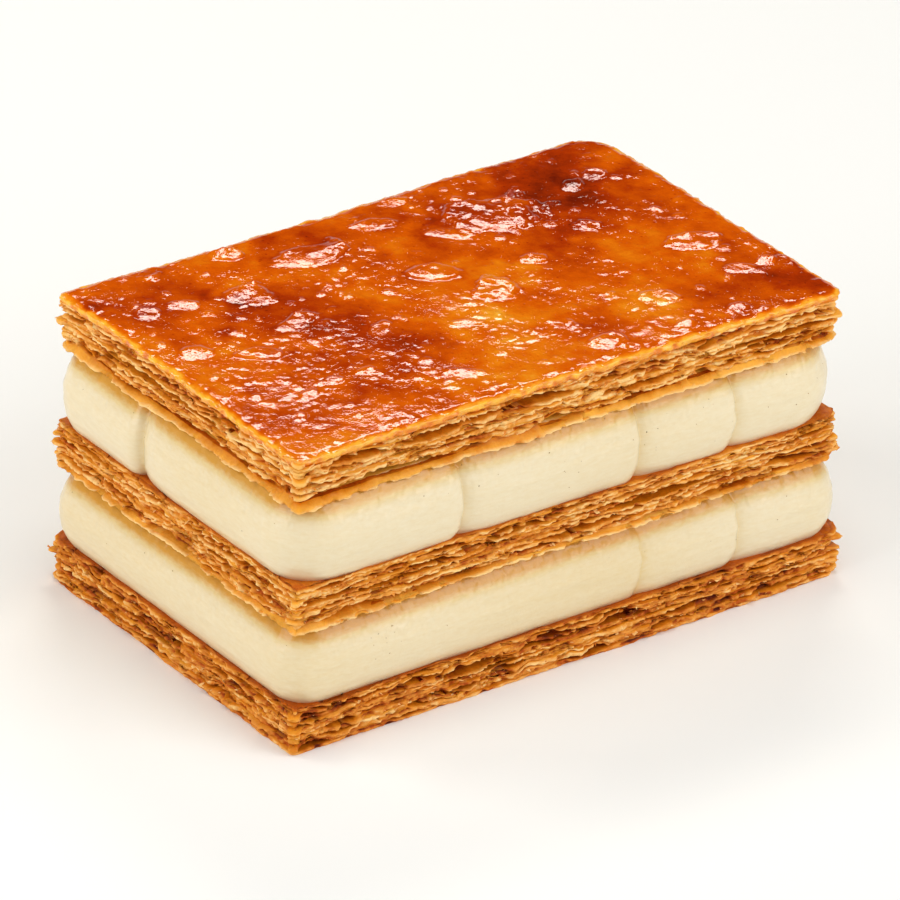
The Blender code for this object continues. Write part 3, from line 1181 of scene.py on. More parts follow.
SCORCHES = (
    Scorch(-0.15, 0.92, 9.0, 0.22), Scorch(-0.62, 0.30, 12.0, 0.22), Scorch(-0.42, -0.42, 9.0, 0.26),
    Scorch(-0.60, -0.70, 7.0, 0.14), Scorch(-0.93, 0.70, 8.0, 0.16), Scorch(0.72, 0.80, 13.0, 0.34),
    Scorch(0.40, 0.66, 9.0, 0.18), Scorch(0.94, -0.72, 8.0, 0.26), Scorch(0.62, 0.15, 8.0, 0.16),
    Scorch(0.12, -0.42, 13.0, -0.07), Scorch(0.45, -0.35, 12.0, -0.12), Scorch(-0.18, 0.30, 10.0, -0.12),
    Scorch(0.40, -0.90, 8.0, -0.04), Scorch(-0.10, -0.85, 9.0, -0.08), Scorch(0.90, 0.10, 8.0, -0.06),
)


@dataclass
class Glaze:
    """The glazed leaf on top: a thin plate whose upper face is a height field over the plan.

    The plan is a square grid drawn out to the slice's outline, with its corners rounded by the map
    that takes a square's corner onto a disc's quarter. Height is the sum of slow waves, blisters,
    wrinkles and a fine crinkle, and it rolls off at the rim.

    Attributes:
        node: The CAD node that it belongs to.
        finish: What it is made of.
        seed: Picks its grain and its small blisters.
        columns: Grid points along the length.
        rows: Grid points across the width.
        corners: Corner radii, as Outline has them.
        thickness: From the upper face's rim to the underside.
        overhang: How far it reaches beyond the node's sides.
        rim_width: How far in the roll-off at the rim begins.
        blister_fall: The plan direction in which a blister rises to its steep end.
        small_blisters: How many small blisters lie at random places.
        small_rise: Their least and greatest height, in millimetres.
        plateau, dome_share: Shares of a blister's rise that its leaning top and its dome have.
        halo_shade, step_sheen: How much darker the ring round a blister's foot is painted as shade, and
        how much paler its top is painted as sheen.
        mean_heat, rim_heat, wall_heat: How dark the face, its rim and the wall under that are.
        wall_depths: Where the rim's rings are, as shares of the thickness.
        wall_bulges: How far each of them stands out, in millimetres.
    """

    node: str
    finish: GlazeFinish
    seed: int = 71
    columns: int = 374
    rows: int = 240
    corners: tuple[float, float, float, float] = (1.0 * MM, 2.4 * MM, 5.5 * MM, 1.0 * MM)
    thickness: float = 1.05 * MM
    overhang: float = 0.15 * MM
    rim_width: float = 1.5 * MM
    blister_fall: tuple[float, float] = (0.6, 0.8)
    small_blisters: int = 150
    small_rise: tuple[float, float] = (0.06, 0.22)
    plateau: float = 0.62
    dome_share: float = 0.10
    halo_shade: float = 0.10
    step_sheen: float = 0.05
    mean_heat: float = 0.53
    rim_heat: float = 0.12
    wall_heat: float = 0.08
    wall_depths: tuple[float, ...] = (0.12, 0.26, 0.42, 0.6, 0.8, 1.0)
    wall_bulges: tuple[float, ...] = (0.10, 0.15, 0.16, 0.12, 0.04, -0.15)

    def blotches(self, points: np.ndarray, size: float, offset: int, octaves: int = 1) -> np.ndarray:
        """Return grain of a size in millimetres, from the glaze's own seed plus an offset."""
        return grain(points, size * MM, self.seed + offset, octaves)

    def plan(self, half: np.ndarray) -> tuple[np.ndarray, np.ndarray]:
        """Draw the grid out to the outline.

        Within a corner's radius r of both sides, the place (a, b), counted in r from the corner's
        centre, moves to (a sqrt(1 - b^2 / 2), b sqrt(1 - a^2 / 2)).

        Args:
            half: Half the length and half the width.

        Returns:
            Plan points, rows by columns by 2, and each point's distance from the rim.
        """
        x = np.linspace(-1.0, 1.0, self.columns) * half[0]
        y = np.linspace(-1.0, 1.0, self.rows) * half[1]
        points = np.stack(np.meshgrid(x, y), axis=-1)
        away = np.minimum(half[0] - np.abs(points[..., 0]), half[1] - np.abs(points[..., 1]))
        for radius, (sign_x, sign_y) in zip(self.corners, ((-1, -1), (1, -1), (1, 1), (-1, 1))):
            sign = np.array((sign_x, sign_y))
            local = (points * sign - (half - radius)) / radius
            inside = (local > 0.0).all(axis=-1)
            a, b = np.clip(local[..., 0], 0, 1), np.clip(local[..., 1], 0, 1)
            moved = np.stack((a * np.sqrt(1.0 - b ** 2 / 2.0), b * np.sqrt(1.0 - a ** 2 / 2.0)), axis=-1)
            points[inside] = ((moved * radius + (half - radius)) * sign)[inside]
            away[inside] = (radius * (1.0 - np.hypot(moved[..., 0], moved[..., 1])))[inside]
        return points, np.clip(away, 0.0, None)

    def blisters(self, plan: np.ndarray, half: np.ndarray,
                 rng: np.random.Generator) -> tuple[np.ndarray, np.ndarray]:
        """Raise the blisters; where two meet, the higher one counts.

        Each is a wrinkled plateau inside its ellipse d = 1, which grain wobbles. It steps up by the
        cubic rise at its edge, leans so that it is highest towards blister_fall, and carries a low
        dome of 1 - d^2.

        Args:
            plan: Plan points.
            half: Half the length and half the width.
            rng: Source of the small blisters.

        Returns:
            Height in metres and added heat, with painted shade round each blister's foot and painted
            sheen on its top.
        """
        height = np.zeros(plan.shape[:-1])
        heat = np.zeros(plan.shape[:-1])
        flat = flattened(plan)
        wobble = 0.46 * self.blotches(flat, 3.0, 3, 3)
        wrinkled = 1.0 + 0.38 * self.blotches(flat, 1.5, 17, 2)
        small = [Blister(*rng.uniform(-0.95, 0.95, 2), *rng.uniform(0.5, 1.3, 2), rng.uniform(-90, 90),
                         rng.uniform(*self.small_rise)) for _ in range(self.small_blisters)]
        for blister in BLISTERS + tuple(small):
            offset = plan - half * (blister.x, blister.y)
            cos, sin = math.cos(math.radians(blister.turn)), math.sin(math.radians(blister.turn))
            along = (offset[..., 0] * cos + offset[..., 1] * sin) / (blister.long * MM)
            across = (offset[..., 1] * cos - offset[..., 0] * sin) / (blister.wide * MM)
            d = np.sqrt(along ** 2 + across ** 2) * (1.0 + wobble)
            dome = np.clip(1.0 - d ** 2, 0.0, 1.0)
            step = smooth(1.08, 0.80, d)
            slope = (offset @ np.array(self.blister_fall)) / (0.5 * (blister.long + blister.wide) * MM)
            lean = np.clip(0.60 + 0.60 * slope, 0.0, 1.2) * step * wrinkled
            height = np.maximum(height, blister.rise * (self.dome_share * dome + self.plateau * lean) * MM)
            # Painted shade in a dark ring round the blister's foot, and a painted sheen that makes its top
            # paler.
            halo = np.exp(-((d - 1.02) / 0.12) ** 2)
            heat += blister.heat * dome + self.halo_shade * min(1.0, 1.6 * blister.rise) * halo
            heat -= self.step_sheen * step
        return height, heat

    def heat(self, plan: np.ndarray, half: np.ndarray, away: np.ndarray) -> np.ndarray:
        """Give how dark the caramel baked: scorches, slow blotches and a golden rim.

        Args:
            plan: Plan points.
            half: Half the length and half the width.
            away: Distance from the rim.

        Returns:
            Values from 0 for gold to 1 for mahogany.
        """
        flat = flattened(plan)
        heat = self.mean_heat + 0.20 * self.blotches(flat, 11.0, 7, 2) + 0.14 * self.blotches(flat, 3.6, 8, 2)
        for scorch in SCORCHES:
            d2 = ((plan - half * (scorch.x, scorch.y)) ** 2).sum(axis=-1) / (scorch.size * MM) ** 2
            heat += scorch.heat * np.exp(-d2)
        wavy = away * (1.0 + 0.5 * self.blotches(flat, 1.8, 9, 2))
        rim = smooth(0.9 * MM, 0.1 * MM, wavy)
        return heat * (1.0 - rim) + (self.rim_heat + 0.14 * self.blotches(flat, 1.4, 18, 2)) * rim

    def build(self) -> bpy.types.Object:
        """Build the plate: its upper face, a rounded ragged rim and a flat underside; return it."""
        low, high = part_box(self.node)
        half = 0.5 * np.array((high.x - low.x, high.y - low.y)) + self.overhang
        rng = np.random.default_rng(self.seed)
        plan, away = self.plan(half)
        flat = flattened(plan)
        rim_fade = smooth(3.0 * MM, 0.0, away)
        ragged = 0.30 * self.blotches(flat, 2.4, 1, 3) + 0.25 * self.blotches(flat, 9.0, 2)
        pull = plan / np.linalg.norm(plan / half, axis=-1, keepdims=True).clip(0.2) / half[None, None]
        plan = plan + pull * (ragged * rim_fade * MM)[..., None]
        blister, blister_heat = self.blisters(plan, half, rng)
        slow = 0.24 * self.blotches(flat, 24.0, 4) + 0.10 * self.blotches(flat, 8.0, 5)
        warped = flat + 0.8 * MM * np.stack((grain(flat, 3.0 * MM, 5), grain(flat, 3.0 * MM, 6),
                                             np.zeros(flat.shape[:-1])), axis=-1)
        turned = warped @ np.array(((0.41, 0.91, 0.0), (-0.91, 0.41, 0.0), (0.0, 0.0, 1.0)))
        wrinkle = 0.05 * ridges(turned, (6.5 * MM, 2.6 * MM, MM), self.seed + 10)
        wrinkle += 0.02 * ridges(turned, (2.4 * MM, 1.2 * MM, MM), self.seed + 11)
        crinkle = 0.035 * self.blotches(flat, 1.1, 12) + 0.035 * self.blotches(flat, 0.62, 13)
        lively = 0.33 + 0.54 * smooth(-0.35, 0.45, self.blotches(flat, 6.0, 14, 2))
        crumbs = 0.12 * self.blotches(flat, 0.8, 15, 2) * smooth(1.6 * MM, 0.3 * MM, away)
        ragged_away = away * (1.0 + 0.7 * self.blotches(flat, 1.5, 16, 2))
        roll = -0.30 * smooth(self.rim_width, 0.0, ragged_away) ** 2 + crumbs
        top = high.z + 0.15 * MM
        height = top + blister + (slow + (wrinkle + crinkle) * lively + roll) * MM
        heat = self.heat(plan, half, away) + blister_heat * (1.0 - rim_fade)
        # Painted highlight: the raised wrinkle crests are made paler than the hollows between them.
        heat -= 0.10 * np.clip(wrinkle * lively, 0.0, 1.0) / 0.2
        return self.plate(np.concatenate((plan, height[..., None]), axis=-1), heat, half)

    def plate(self, face: np.ndarray, heat: np.ndarray, half: np.ndarray) -> bpy.types.Object:
        """Close the upper face into a plate and dress it.

        Args:
            face: Upper points, rows by columns by 3.
            heat: The face's baking.
            half: Half the length and half the width.

        Returns:
            The finished piece.
        """
        rows, columns = face.shape[:2]
        grid = np.arange(rows * columns).reshape(rows, columns)
        quads = np.stack((grid[:-1, :-1], grid[:-1, 1:], grid[1:, 1:], grid[1:, :-1]), axis=-1).reshape(-1, 4)
        border = np.concatenate((grid[0, :-1], grid[:-1, -1], grid[-1, :0:-1], grid[:0:-1, 0]))
        rim = face.reshape(-1, 3)[border]
        away = np.stack((rim[:, 0] / half[0], rim[:, 1] / half[1]), axis=1)
        push = np.sign(away) * np.abs(away) ** 12
        push /= np.linalg.norm(push, axis=1, keepdims=True)
        count = len(border)
        walls, wall_heat = [], []
        for depth, bulge in zip(self.wall_depths, self.wall_bulges):
            ring = rim.copy()
            ring[:, 2] -= depth * self.thickness
            wobble = 0.26 * grain(ring, (0.9 * MM, 0.9 * MM, 0.35 * MM), self.seed + 20, 2)
            ring[:, :2] += push * ((bulge + wobble) * MM)[:, None]
            walls.append(ring)
            wall_heat.append(self.wall_heat + 0.24 * grain(ring, 1.2 * MM, self.seed + 30, 2) + 0.18 * depth)
        first = rows * columns
        rings = np.concatenate((border[None], first + np.arange(count * len(walls)).reshape(len(walls), count)))
        after = np.roll(rings, -1, axis=1)
        sides = np.stack((after[:-1], rings[:-1], rings[1:], after[1:]), axis=-1).reshape(-1, 4)
        centre = first + count * len(walls)
        base = np.stack((after[-1], rings[-1], np.full(count, centre)), axis=-1)
        middle = np.array((0.0, 0.0, walls[-1][:, 2].min()))
        points = np.concatenate((face.reshape(-1, 3), *walls, middle[None]))
        masks = {"caramel": np.concatenate((heat.ravel(), *wall_heat, (0.5,)))}
        uv = self.bake_map(face, quads, count, len(walls))
        return dress(mesh_object("glazed_top", points, [quads, sides, base], uv, masks), self.finish, self.node)

    def bake_map(self, face: np.ndarray, quads: np.ndarray, count: int, levels: int) -> np.ndarray:
        """Lay the plate out flat: the face as seen from above, its rim in strips above that.

        Args:
            face: Upper points.
            quads: The face's quads.
            count: Points round the rim.
            levels: Rings in the rim.

        Returns:
            Map places for every face corner.
        """
        rows, columns = face.shape[:2]
        u, v = np.meshgrid(np.linspace(0.004, 0.996, columns), np.linspace(0.004, 0.66, rows))
        top = np.stack((u, v), axis=-1).reshape(-1, 2)[quads.ravel()]
        strips = 4
        share = math.ceil(count / strips)
        column = np.arange(count)
        left = 0.004 + (column % share) / share * 0.99
        right = left + 0.99 / share
        foot = 0.67 + 0.06 * (column // share)
        low = foot[None] + 0.05 * np.arange(levels)[:, None] / levels
        high = low + 0.05 / levels
        left, right = np.broadcast_to(left, low.shape), np.broadcast_to(right, low.shape)
        sides = np.stack((np.stack((right, low), -1), np.stack((left, low), -1),
                          np.stack((left, high), -1), np.stack((right, high), -1)), axis=-2).reshape(-1, 2)
        turn = TURN * np.arange(count + 1) / count
        rim = 0.03 * np.stack((np.cos(turn), np.sin(turn)), axis=1)
        base = np.stack((rim[1:], rim[:-1], np.zeros((count, 2))), axis=1).reshape(-1, 2) + (0.05, 0.955)
        return np.concatenate((top, sides, base))


# ---------------------------------------------------------------------------------------------------
# Cream
# ---------------------------------------------------------------------------------------------------


@dataclass(frozen=True)
class Crease:
    """Where one piped lobe of cream ends against the next, in millimetres.

    Attributes:
        side: The side.
        along: Its place, measured as Outline.distance says.
        depth: How deep it is.
        bow: How far its middle bows towards the next lobe.
        lap: 1 if the lobe before it laps over the next on the way round, -1 for the other way.
    """

    side: Side
    along: float
    depth: float
    bow: float = 1.1
    lap: int = 1


@dataclass
class CreamLayer:
    """One band of cream: rings round soft corners that bulge between the pastry below and above.

    The bulge is 1 - |2t - 1|^p up the height t, with its own p below and above the middle. At a
    crease one lobe ends in a quarter circle and the next comes out from under it slowly.

    Attributes:
        node: The CAD node that it stands for.
        seed: Picks its random curves and grain.
        creases: Where its lobes meet.
        finish: What it is made of.
        count: Stations round the band.
        rows: Rings from foot to head.
        corners: Corner radii.
        foot_inset: How far in its foot lies.
        head_inset: How far in its head lies.
        fullest: The height at which it stands out furthest, as a share of its own.
        overhang: How far its outline lies beyond the lowest pastry's.
        bury: How far foot and head reach into the pastry.
        steep, slow: Over what length a lobe ends at a crease, and the next one rises.
        relief: Heights of the drag marks, of the crinkle and of the step below the shoulder, in
            millimetres.
        belly, shoulder_sway, shading: Waves of the bulge in millimetres, of the height at which the
            face steps in, and of the shade.
        surface: Its rings once it is built.
        outward: Their outward directions.
    """

    node: str
    seed: int
    creases: tuple[Crease, ...]
    finish: CreamFinish
    count: int = 1440
    rows: int = 60
    corners: tuple[float, float, float, float] = (6.5 * MM, 6.5 * MM, 6.5 * MM, 6.5 * MM)
    foot_inset: float = 1.7 * MM
    head_inset: float = 3.4 * MM
    overhang: float = 0.45 * MM
    bury: float = 0.7 * MM
    fullest: float = 0.42
    steep: float = 2.2 * MM
    slow: float = 2.6 * MM
    relief: tuple[float, float, float] = (0.06, 0.095, 0.16)
    belly: Waves = ((13, 0.35), (34, 0.16))
    shoulder_sway: Waves = ((24, 0.05),)
    shading: Waves = ((16, 0.1),)
    surface: np.ndarray = field(default_factory=lambda: np.zeros((0, 0, 3)))
    outward: np.ndarray = field(default_factory=lambda: np.zeros((0, 2)))

    def fullness(self, level: np.ndarray) -> np.ndarray:
        """Return how far out the band stands at each height, from -1 at the ends to 0 at its fullest."""
        below = -self.foot_inset * np.clip(1.0 - level / self.fullest, 0.0, 1.0) ** 2.6
        above = -self.head_inset * np.clip((level - self.fullest) / (1.0 - self.fullest), 0.0, 1.0) ** 2.3
        return below + above

    def lobes(self, outline: Outline, level: np.ndarray,
              rng: np.random.Generator) -> tuple[np.ndarray, np.ndarray]:
        """Cut the creases.

        Ahead of the crease line the lobe falls as a quarter circle of radius steep; behind it the
        next lobe rises as an exponential over slow. The line itself bows as a half sine.

        Args:
            outline: The band's outline.
            level: Heights from 0 to 1, rows by 1.
            rng: Source of each line's wobble.

        Returns:
            How far in each point moves, and how much it is shaded.
        """
        inwards = np.zeros((len(level), outline.count))
        shade = np.zeros_like(inwards)
        steep, slow = self.steep, self.slow
        for crease in self.creases:
            way = outline.distance(crease.side, crease.along * MM)[None] * crease.lap
            bend = crease.bow * MM * np.sin(math.pi * np.clip(level, 0.0, 1.0)) ** 0.8
            wobble = 0.3 * MM * np.interp(level, np.linspace(0.0, 1.0, 9), rng.uniform(-1.0, 1.0, 9))
            d = way - bend - wobble
            ahead = 1.0 - np.sqrt(np.clip(1.0 - np.clip((d + steep) / steep, 0.0, 1.0) ** 2, 0.0, 1.0))
            behind = np.exp(-np.clip(d, 0.0, None) / slow) * (1.0 - smooth(8.0 * MM, 12.0 * MM, d))
            inwards += crease.depth * MM * np.where(d < 0.0, ahead, behind)
            shade += np.where(d < 0.0, ahead ** 2, np.exp(-np.clip(d, 0.0, None) / (0.8 * MM)))
        return inwards, np.clip(shade, 0.0, 1.0)

    def build(self) -> bpy.types.Object:
        """Build the band, dress it and hide the CAD node; return the piece."""
        low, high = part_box(self.node)
        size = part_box("pastry_bottom")[1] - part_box("pastry_bottom")[0]
        outline = Outline(size.x + 2.0 * self.overhang, size.y + 2.0 * self.overhang, self.corners, self.count)
        rng = np.random.default_rng(self.seed)
        plan, outward = outline.stations()
        level = np.linspace(0.0, 1.0, self.rows)[:, None]
        inwards, crease_shade = self.lobes(outline, level, rng)
        belly = waves(self.count, self.belly, rng)
        out = self.fullness(level) + belly * MM * np.sin(math.pi * level) - inwards
        rings = np.empty((self.rows, self.count, 3))
        rings[..., :2] = plan[None] + outward[None] * out[..., None]
        rings[..., 2] = low.z - self.bury + level * (high.z - low.z + 2.0 * self.bury)
        drag = grain(rings, (5.0 * MM, 5.0 * MM, 0.9 * MM), self.seed + 1, 2)
        upper = smooth(0.35, 0.75, level)
        crinkle = grain(rings, (0.65 * MM, 0.65 * MM, 1.4 * MM), self.seed + 2, 2)
        shoulder = smooth(0.50, 0.60, level + waves(self.count, self.shoulder_sway, rng))
        rough = self.relief[0] * drag + self.relief[1] * crinkle * upper - self.relief[2] * shoulder
        rings[..., :2] += outward[None] * (rough * MM)[..., None]
        self.surface, self.outward = rings, outward
        under_lid = smooth(0.67, 0.87, level) * np.ones(self.count)
        shade = 0.17 + 0.90 * under_lid + 0.3 * crease_shade + waves(self.count, self.shading, rng)
        return dress(RingSurface(f"{self.node}_band", rings, {"shade": shade}).build(), self.finish, self.node)


@dataclass
class VanillaSpecks:
    """Seeds on the face of one cream band: flattened eight-faced grains, half sunk in the cream.

    Attributes:
        layer: The band that they lie on.
        finish: What they are made of.
        seed: Picks their places.
        amount: How many there are.
        clusters: Round how many places about half of them gather.
        half_height: Half a grain's thickness.
    """

    layer: CreamLayer
    finish: SpeckFinish
    seed: int
    amount: int = 80
    clusters: int = 6
    half_height: float = 0.06 * MM

    def build(self) -> bpy.types.Object:
        """Scatter the grains in loose clusters over the band's face; return the piece."""
        rng = np.random.default_rng(self.seed)
        rows, count = self.layer.surface.shape[:2]
        hearts = rng.integers(0, count, self.clusters)
        gathered = rng.random(self.amount) < 0.55
        column = np.where(gathered, rng.choice(hearts, self.amount) + rng.normal(0.0, 14.0, self.amount),
                          rng.integers(0, count, self.amount)).astype(int) % count
        row = np.clip(rng.normal(0.62, 0.16, self.amount) * rows, 6, rows - 8).astype(int)
        middle = self.layer.surface[row, column]
        normal = np.concatenate((self.layer.outward[column], np.full((self.amount, 1), 0.15)), axis=1)
        along = np.stack((-normal[:, 1], normal[:, 0], np.zeros(self.amount)), axis=1)
        up = np.cross(normal, along)
        spin = rng.uniform(0.0, TURN, (self.amount, 1))
        first = np.cos(spin) * along + np.sin(spin) * up
        second = np.cos(spin) * up - np.sin(spin) * along
        size = rng.uniform(0.06, 0.17, (self.amount, 1)) * MM
        wide = size * rng.uniform(0.35, 0.9, (self.amount, 1))
        thick = normal * self.half_height
        corners = np.stack((middle + first * size, middle + second * wide, middle - first * size,
                            middle - second * wide, middle + thick, middle - thick), axis=1)
        pattern = np.array([(k, (k + 1) % 4, 4) for k in range(4)] + [((k + 1) % 4, k, 5) for k in range(4)])
        faces = (pattern[None] + 6 * np.arange(self.amount)[:, None, None]).reshape(-1, 3)
        piece = mesh_object(f"{self.layer.node}_vanilla_specks", corners.reshape(-1, 3), [faces])
        return dress(piece, self.finish, self.layer.node, stands_for=False)


@dataclass
class LooseFlakes:
    """Slivers of leaf that stand off a pastry's cut edge: small bent diamonds with a thickness.

    Attributes:
        pastry: The layer that they come off.
        seed: Picks their places and shapes.
        amount: How many there are.
    """

    pastry: Pastry
    seed: int
    amount: int = 700

    def build(self) -> bpy.types.Object:
        """Stand slivers on randomly picked lip points; return the piece.

        A sliver is a diamond along a random bearing near level, its two ends bent up or down, and its
        lower face a copy of the upper one moved down by the leaf's thickness.
        """
        rng = np.random.default_rng(self.seed)
        lips = np.concatenate([stack.lips for stack in self.pastry.stacks])
        low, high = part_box(self.pastry.node)
        lips = lips[(lips[:, 2] > low.z + 0.8 * MM) & (lips[:, 2] < high.z - 1.0 * MM)]
        middle = lips[rng.integers(0, len(lips), self.amount)]
        bearing = rng.uniform(0.0, TURN, (self.amount, 1))
        tilt = rng.normal(0.0, 0.30, (self.amount, 2))
        first = np.concatenate((np.cos(bearing), np.sin(bearing), tilt[:, :1]), axis=1)
        second = np.concatenate((-np.sin(bearing), np.cos(bearing), tilt[:, 1:]), axis=1)
        size = rng.uniform(0.15, 0.55, (self.amount, 1)) * MM
        wide = size * rng.uniform(0.35, 0.8, (self.amount, 1))
        bend = rng.normal(0.0, 0.12, (self.amount, 2)) * MM
        upper = np.stack((middle + first * size, middle + second * wide, middle - first * size,
                          middle - second * wide), axis=1)
        upper[:, 0, 2] += bend[:, 0]
        upper[:, 2, 2] += bend[:, 1]
        lower = upper - np.array((0.0, 0.0, 0.07 * MM))
        corners = np.concatenate((upper, lower), axis=1)
        tops = np.array(((0, 1, 2, 3), (7, 6, 5, 4), (0, 4, 5, 1), (1, 5, 6, 2), (2, 6, 7, 3), (3, 7, 4, 0)))
        faces = (tops[None] + 8 * np.arange(self.amount)[:, None, None]).reshape(-1, 4)
        tone = np.repeat(rng.uniform(0.0, 0.45, self.amount), 8)
        masks = {"browning": tone, "edge": np.ones_like(tone), "skin": np.zeros_like(tone)}
        piece = mesh_object(f"{self.pastry.node}_flakes", corners.reshape(-1, 3), [faces], None, masks)
        piece.data.polygons.foreach_set("use_smooth", np.zeros(len(piece.data.polygons), dtype=bool))
        return dress(piece, self.pastry.finish, self.pastry.node, stands_for=False)


# ---------------------------------------------------------------------------------------------------
# Studio
# ---------------------------------------------------------------------------------------------------


@dataclass(frozen=True)
class Softbox:
    """A square studio light.

    Attributes:
        name: Its name.
        azimuth: Its bearing in degrees, 0 in front of the slice and growing to its right.
        elevation: Its height in degrees.
        distance: How far it is.
        size: Its width and height.
        power: In watts.
        colour: Its tint.
    """

    name: str
    azimuth: float
    elevation: float
    distance: float
    size: tuple[float, float]
    power: float
    colour: str = "#ffffff"

    def build(self, target: Vector) -> None:
        """Hang the light and aim it at the target."""
        lamp = bpy.data.lights.new(self.name, "AREA")
        lamp.shape = "RECTANGLE"
        lamp.size, lamp.size_y = self.size
        lamp.energy = self.power
        lamp.color = linear(self.colour)[:3]
        item = bpy.data.objects.new(self.name, lamp)
        back = direction(self.azimuth, self.elevation)
        item.location = target + back * self.distance
        item.rotation_euler = back.to_track_quat("Z", "Y").to_euler()
        bpy.context.collection.objects.link(item)


def direction(azimuth: float, elevation: float) -> Vector:
    """Return the unit vector towards a bearing round the slice and a height, both in degrees."""
    turn, rise = math.radians(azimuth), math.radians(elevation)
    return Vector((math.sin(turn) * math.cos(rise), -math.cos(turn) * math.cos(rise), math.sin(rise)))


@dataclass(frozen=True)
class Studio:
    """The pale floor, the pale surroundings, the softboxes and the camera.

    Attributes:
        azimuth: The camera's bearing in degrees, as a softbox has it.
        elevation: Its height in degrees.
        distance: How far it is.
        roll: How far it is turned about its own axis, in degrees.
        lens: Its focal length in millimetres.
        aim_drop: How far below the middle it aims.
        aim_side: How far to the right it aims.
        flags: Bearing and height of each dark flag, in degrees.
        surround: The white that lights the set.
        flag_colour: The flags' grey.
        backdrop: What the camera itself sees behind the slice.
        floor_colour: The floor's colour.
        floor_reach: Half the floor's side.
        boxes: The softboxes.
    """

    azimuth: float = -35.91
    elevation: float = 28.16
    distance: float = 1.3
    roll: float = 1.22
    lens: float = 344.4
    aim_drop: float = 2.44 * MM
    aim_side: float = 0.12 * MM
    flags: tuple[tuple[float, float], ...] = ((144.0, 32.0), (-135.0, 32.0))
    surround: str = "#efeeec"
    flag_colour: str = "#181818"
    backdrop: str = "#fbfaf8"
    floor_colour: str = "#f3f4f2"
    floor_reach: float = 0.5
    boxes: tuple[Softbox, ...] = (
        Softbox("left_front", -95.0, 26.0, 0.75, (0.5, 0.5), 2.2),
        Softbox("right_front", 25.0, 34.0, 0.75, (0.5, 0.5), 2.35),
        Softbox("back", 144.0, 44.0, 0.7, (0.26, 0.12), 1.15, "#fff8ee"),
        Softbox("back_left", -135.0, 42.0, 0.7, (0.26, 0.12), 1.15, "#fff8ee"),
        Softbox("overhead", 0.0, 86.0, 0.8, (0.4, 0.4), 1.3),
    )

    def build(self) -> None:
        """Build the floor, the world, the lights and the camera."""
        low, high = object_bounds()
        target = (low + high) * 0.5
        self.floor(low.z)
        self.world()
        for box in self.boxes:
            box.build(target)
        self.camera(target)
        view = bpy.context.scene.view_settings
        view.view_transform = "Standard"
        view.look = "None"
        log.info("studio: %d softboxes", len(self.boxes))

    def floor(self, height: float) -> None:
        """Lay a wide pale floor at the height that the slice rests on."""
        reach = self.floor_reach
        points = np.array(((-reach, -reach, height), (reach, -reach, height), (reach, reach, height),
                           (-reach, reach, height)))
        piece = mesh_object("studio_floor", points, [np.array(((0, 1, 2, 3),))])
        material, _, shader = new_material("floor_paper", {"Roughness": 0.9, "Specular IOR Level": 0.1})
        shader["Base Color"].default_value = linear(self.floor_colour)
        piece.data.materials.append(material)
        piece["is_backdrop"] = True

    def world(self) -> None:
        """Surround the set with white, but for two dark flags behind it that keep the glaze's colour clear.

        A flag is a round patch: full where the angle to its middle has a cosine above 0.82, gone
        where it is below 0.55. The nearer flag counts, and both fade out above the horizon.
        """
        world = bpy.data.worlds.new("studio_world")
        bpy.context.scene.world = world
        world.use_nodes = True
        tree = world.node_tree
        way = add_node(tree, "ShaderNodeTexCoord").outputs["Generated"]
        settings = ({"operation": "DOT_PRODUCT", 1: tuple(direction(*flag))} for flag in self.flags)
        first, second = (add_node(tree, "ShaderNodeVectorMath", values, {0: way}).outputs["Value"]
                         for values in settings)
        near = add_node(tree, "ShaderNodeMath", {"operation": "MAXIMUM"}, {0: first, 1: second}).outputs[0]
        flag = add_node(tree, "ShaderNodeMapRange", {"From Min": 0.55, "From Max": 0.82}, {"Value": near})
        level = add_node(tree, "ShaderNodeSeparateXYZ", links={0: way}).outputs["Z"]
        risen = add_node(tree, "ShaderNodeMapRange", {"From Min": 0.10, "From Max": 0.24}, {"Value": level})
        amount = add_node(tree, "ShaderNodeMath", {"operation": "MULTIPLY"},
                          {0: flag.outputs["Result"], 1: risen.outputs["Result"]})
        tones = {"data_type": "RGBA", 6: linear(self.surround), 7: linear(self.flag_colour)}
        tone = add_node(tree, "ShaderNodeMix", tones, {0: amount.outputs[0]})
        seen = add_node(tree, "ShaderNodeLightPath").outputs["Is Camera Ray"]
        backdrop = add_node(tree, "ShaderNodeMix", {"data_type": "RGBA", 7: linear(self.backdrop)},
                            {0: seen, 6: tone.outputs[2]})
        strength = add_node(tree, "ShaderNodeMapRange", {"To Min": 0.7, "To Max": 1.0}, {"Value": seen})
        tree.links.new(backdrop.outputs[2], tree.nodes["Background"].inputs["Color"])
        tree.links.new(strength.outputs["Result"], tree.nodes["Background"].inputs["Strength"])

    def camera(self, target: Vector) -> None:
        """Set the camera: far off with a long lens, rolled a little, aimed just under the middle."""
        data = bpy.data.cameras.new("camera")
        data.sensor_width = 36.0
        data.lens = self.lens
        data.clip_end = 20.0
        back = direction(self.azimuth, self.elevation)
        right = Vector((0.0, 0.0, 1.0)).cross(back).normalized()
        up = back.cross(right)
        roll = math.radians(self.roll)
        side = right * math.cos(roll) + up * math.sin(roll)
        head = up * math.cos(roll) - right * math.sin(roll)
        item = bpy.data.objects.new("camera", data)
        place = target + back * self.distance - head * self.aim_drop + side * self.aim_side
        item.matrix_world = Matrix.Translation(place) @ Matrix((side, head, back)).transposed().to_4x4()
        bpy.context.collection.objects.link(item)
        bpy.context.scene.camera = item


# ---------------------------------------------------------------------------------------------------
# The slice
# ---------------------------------------------------------------------------------------------------


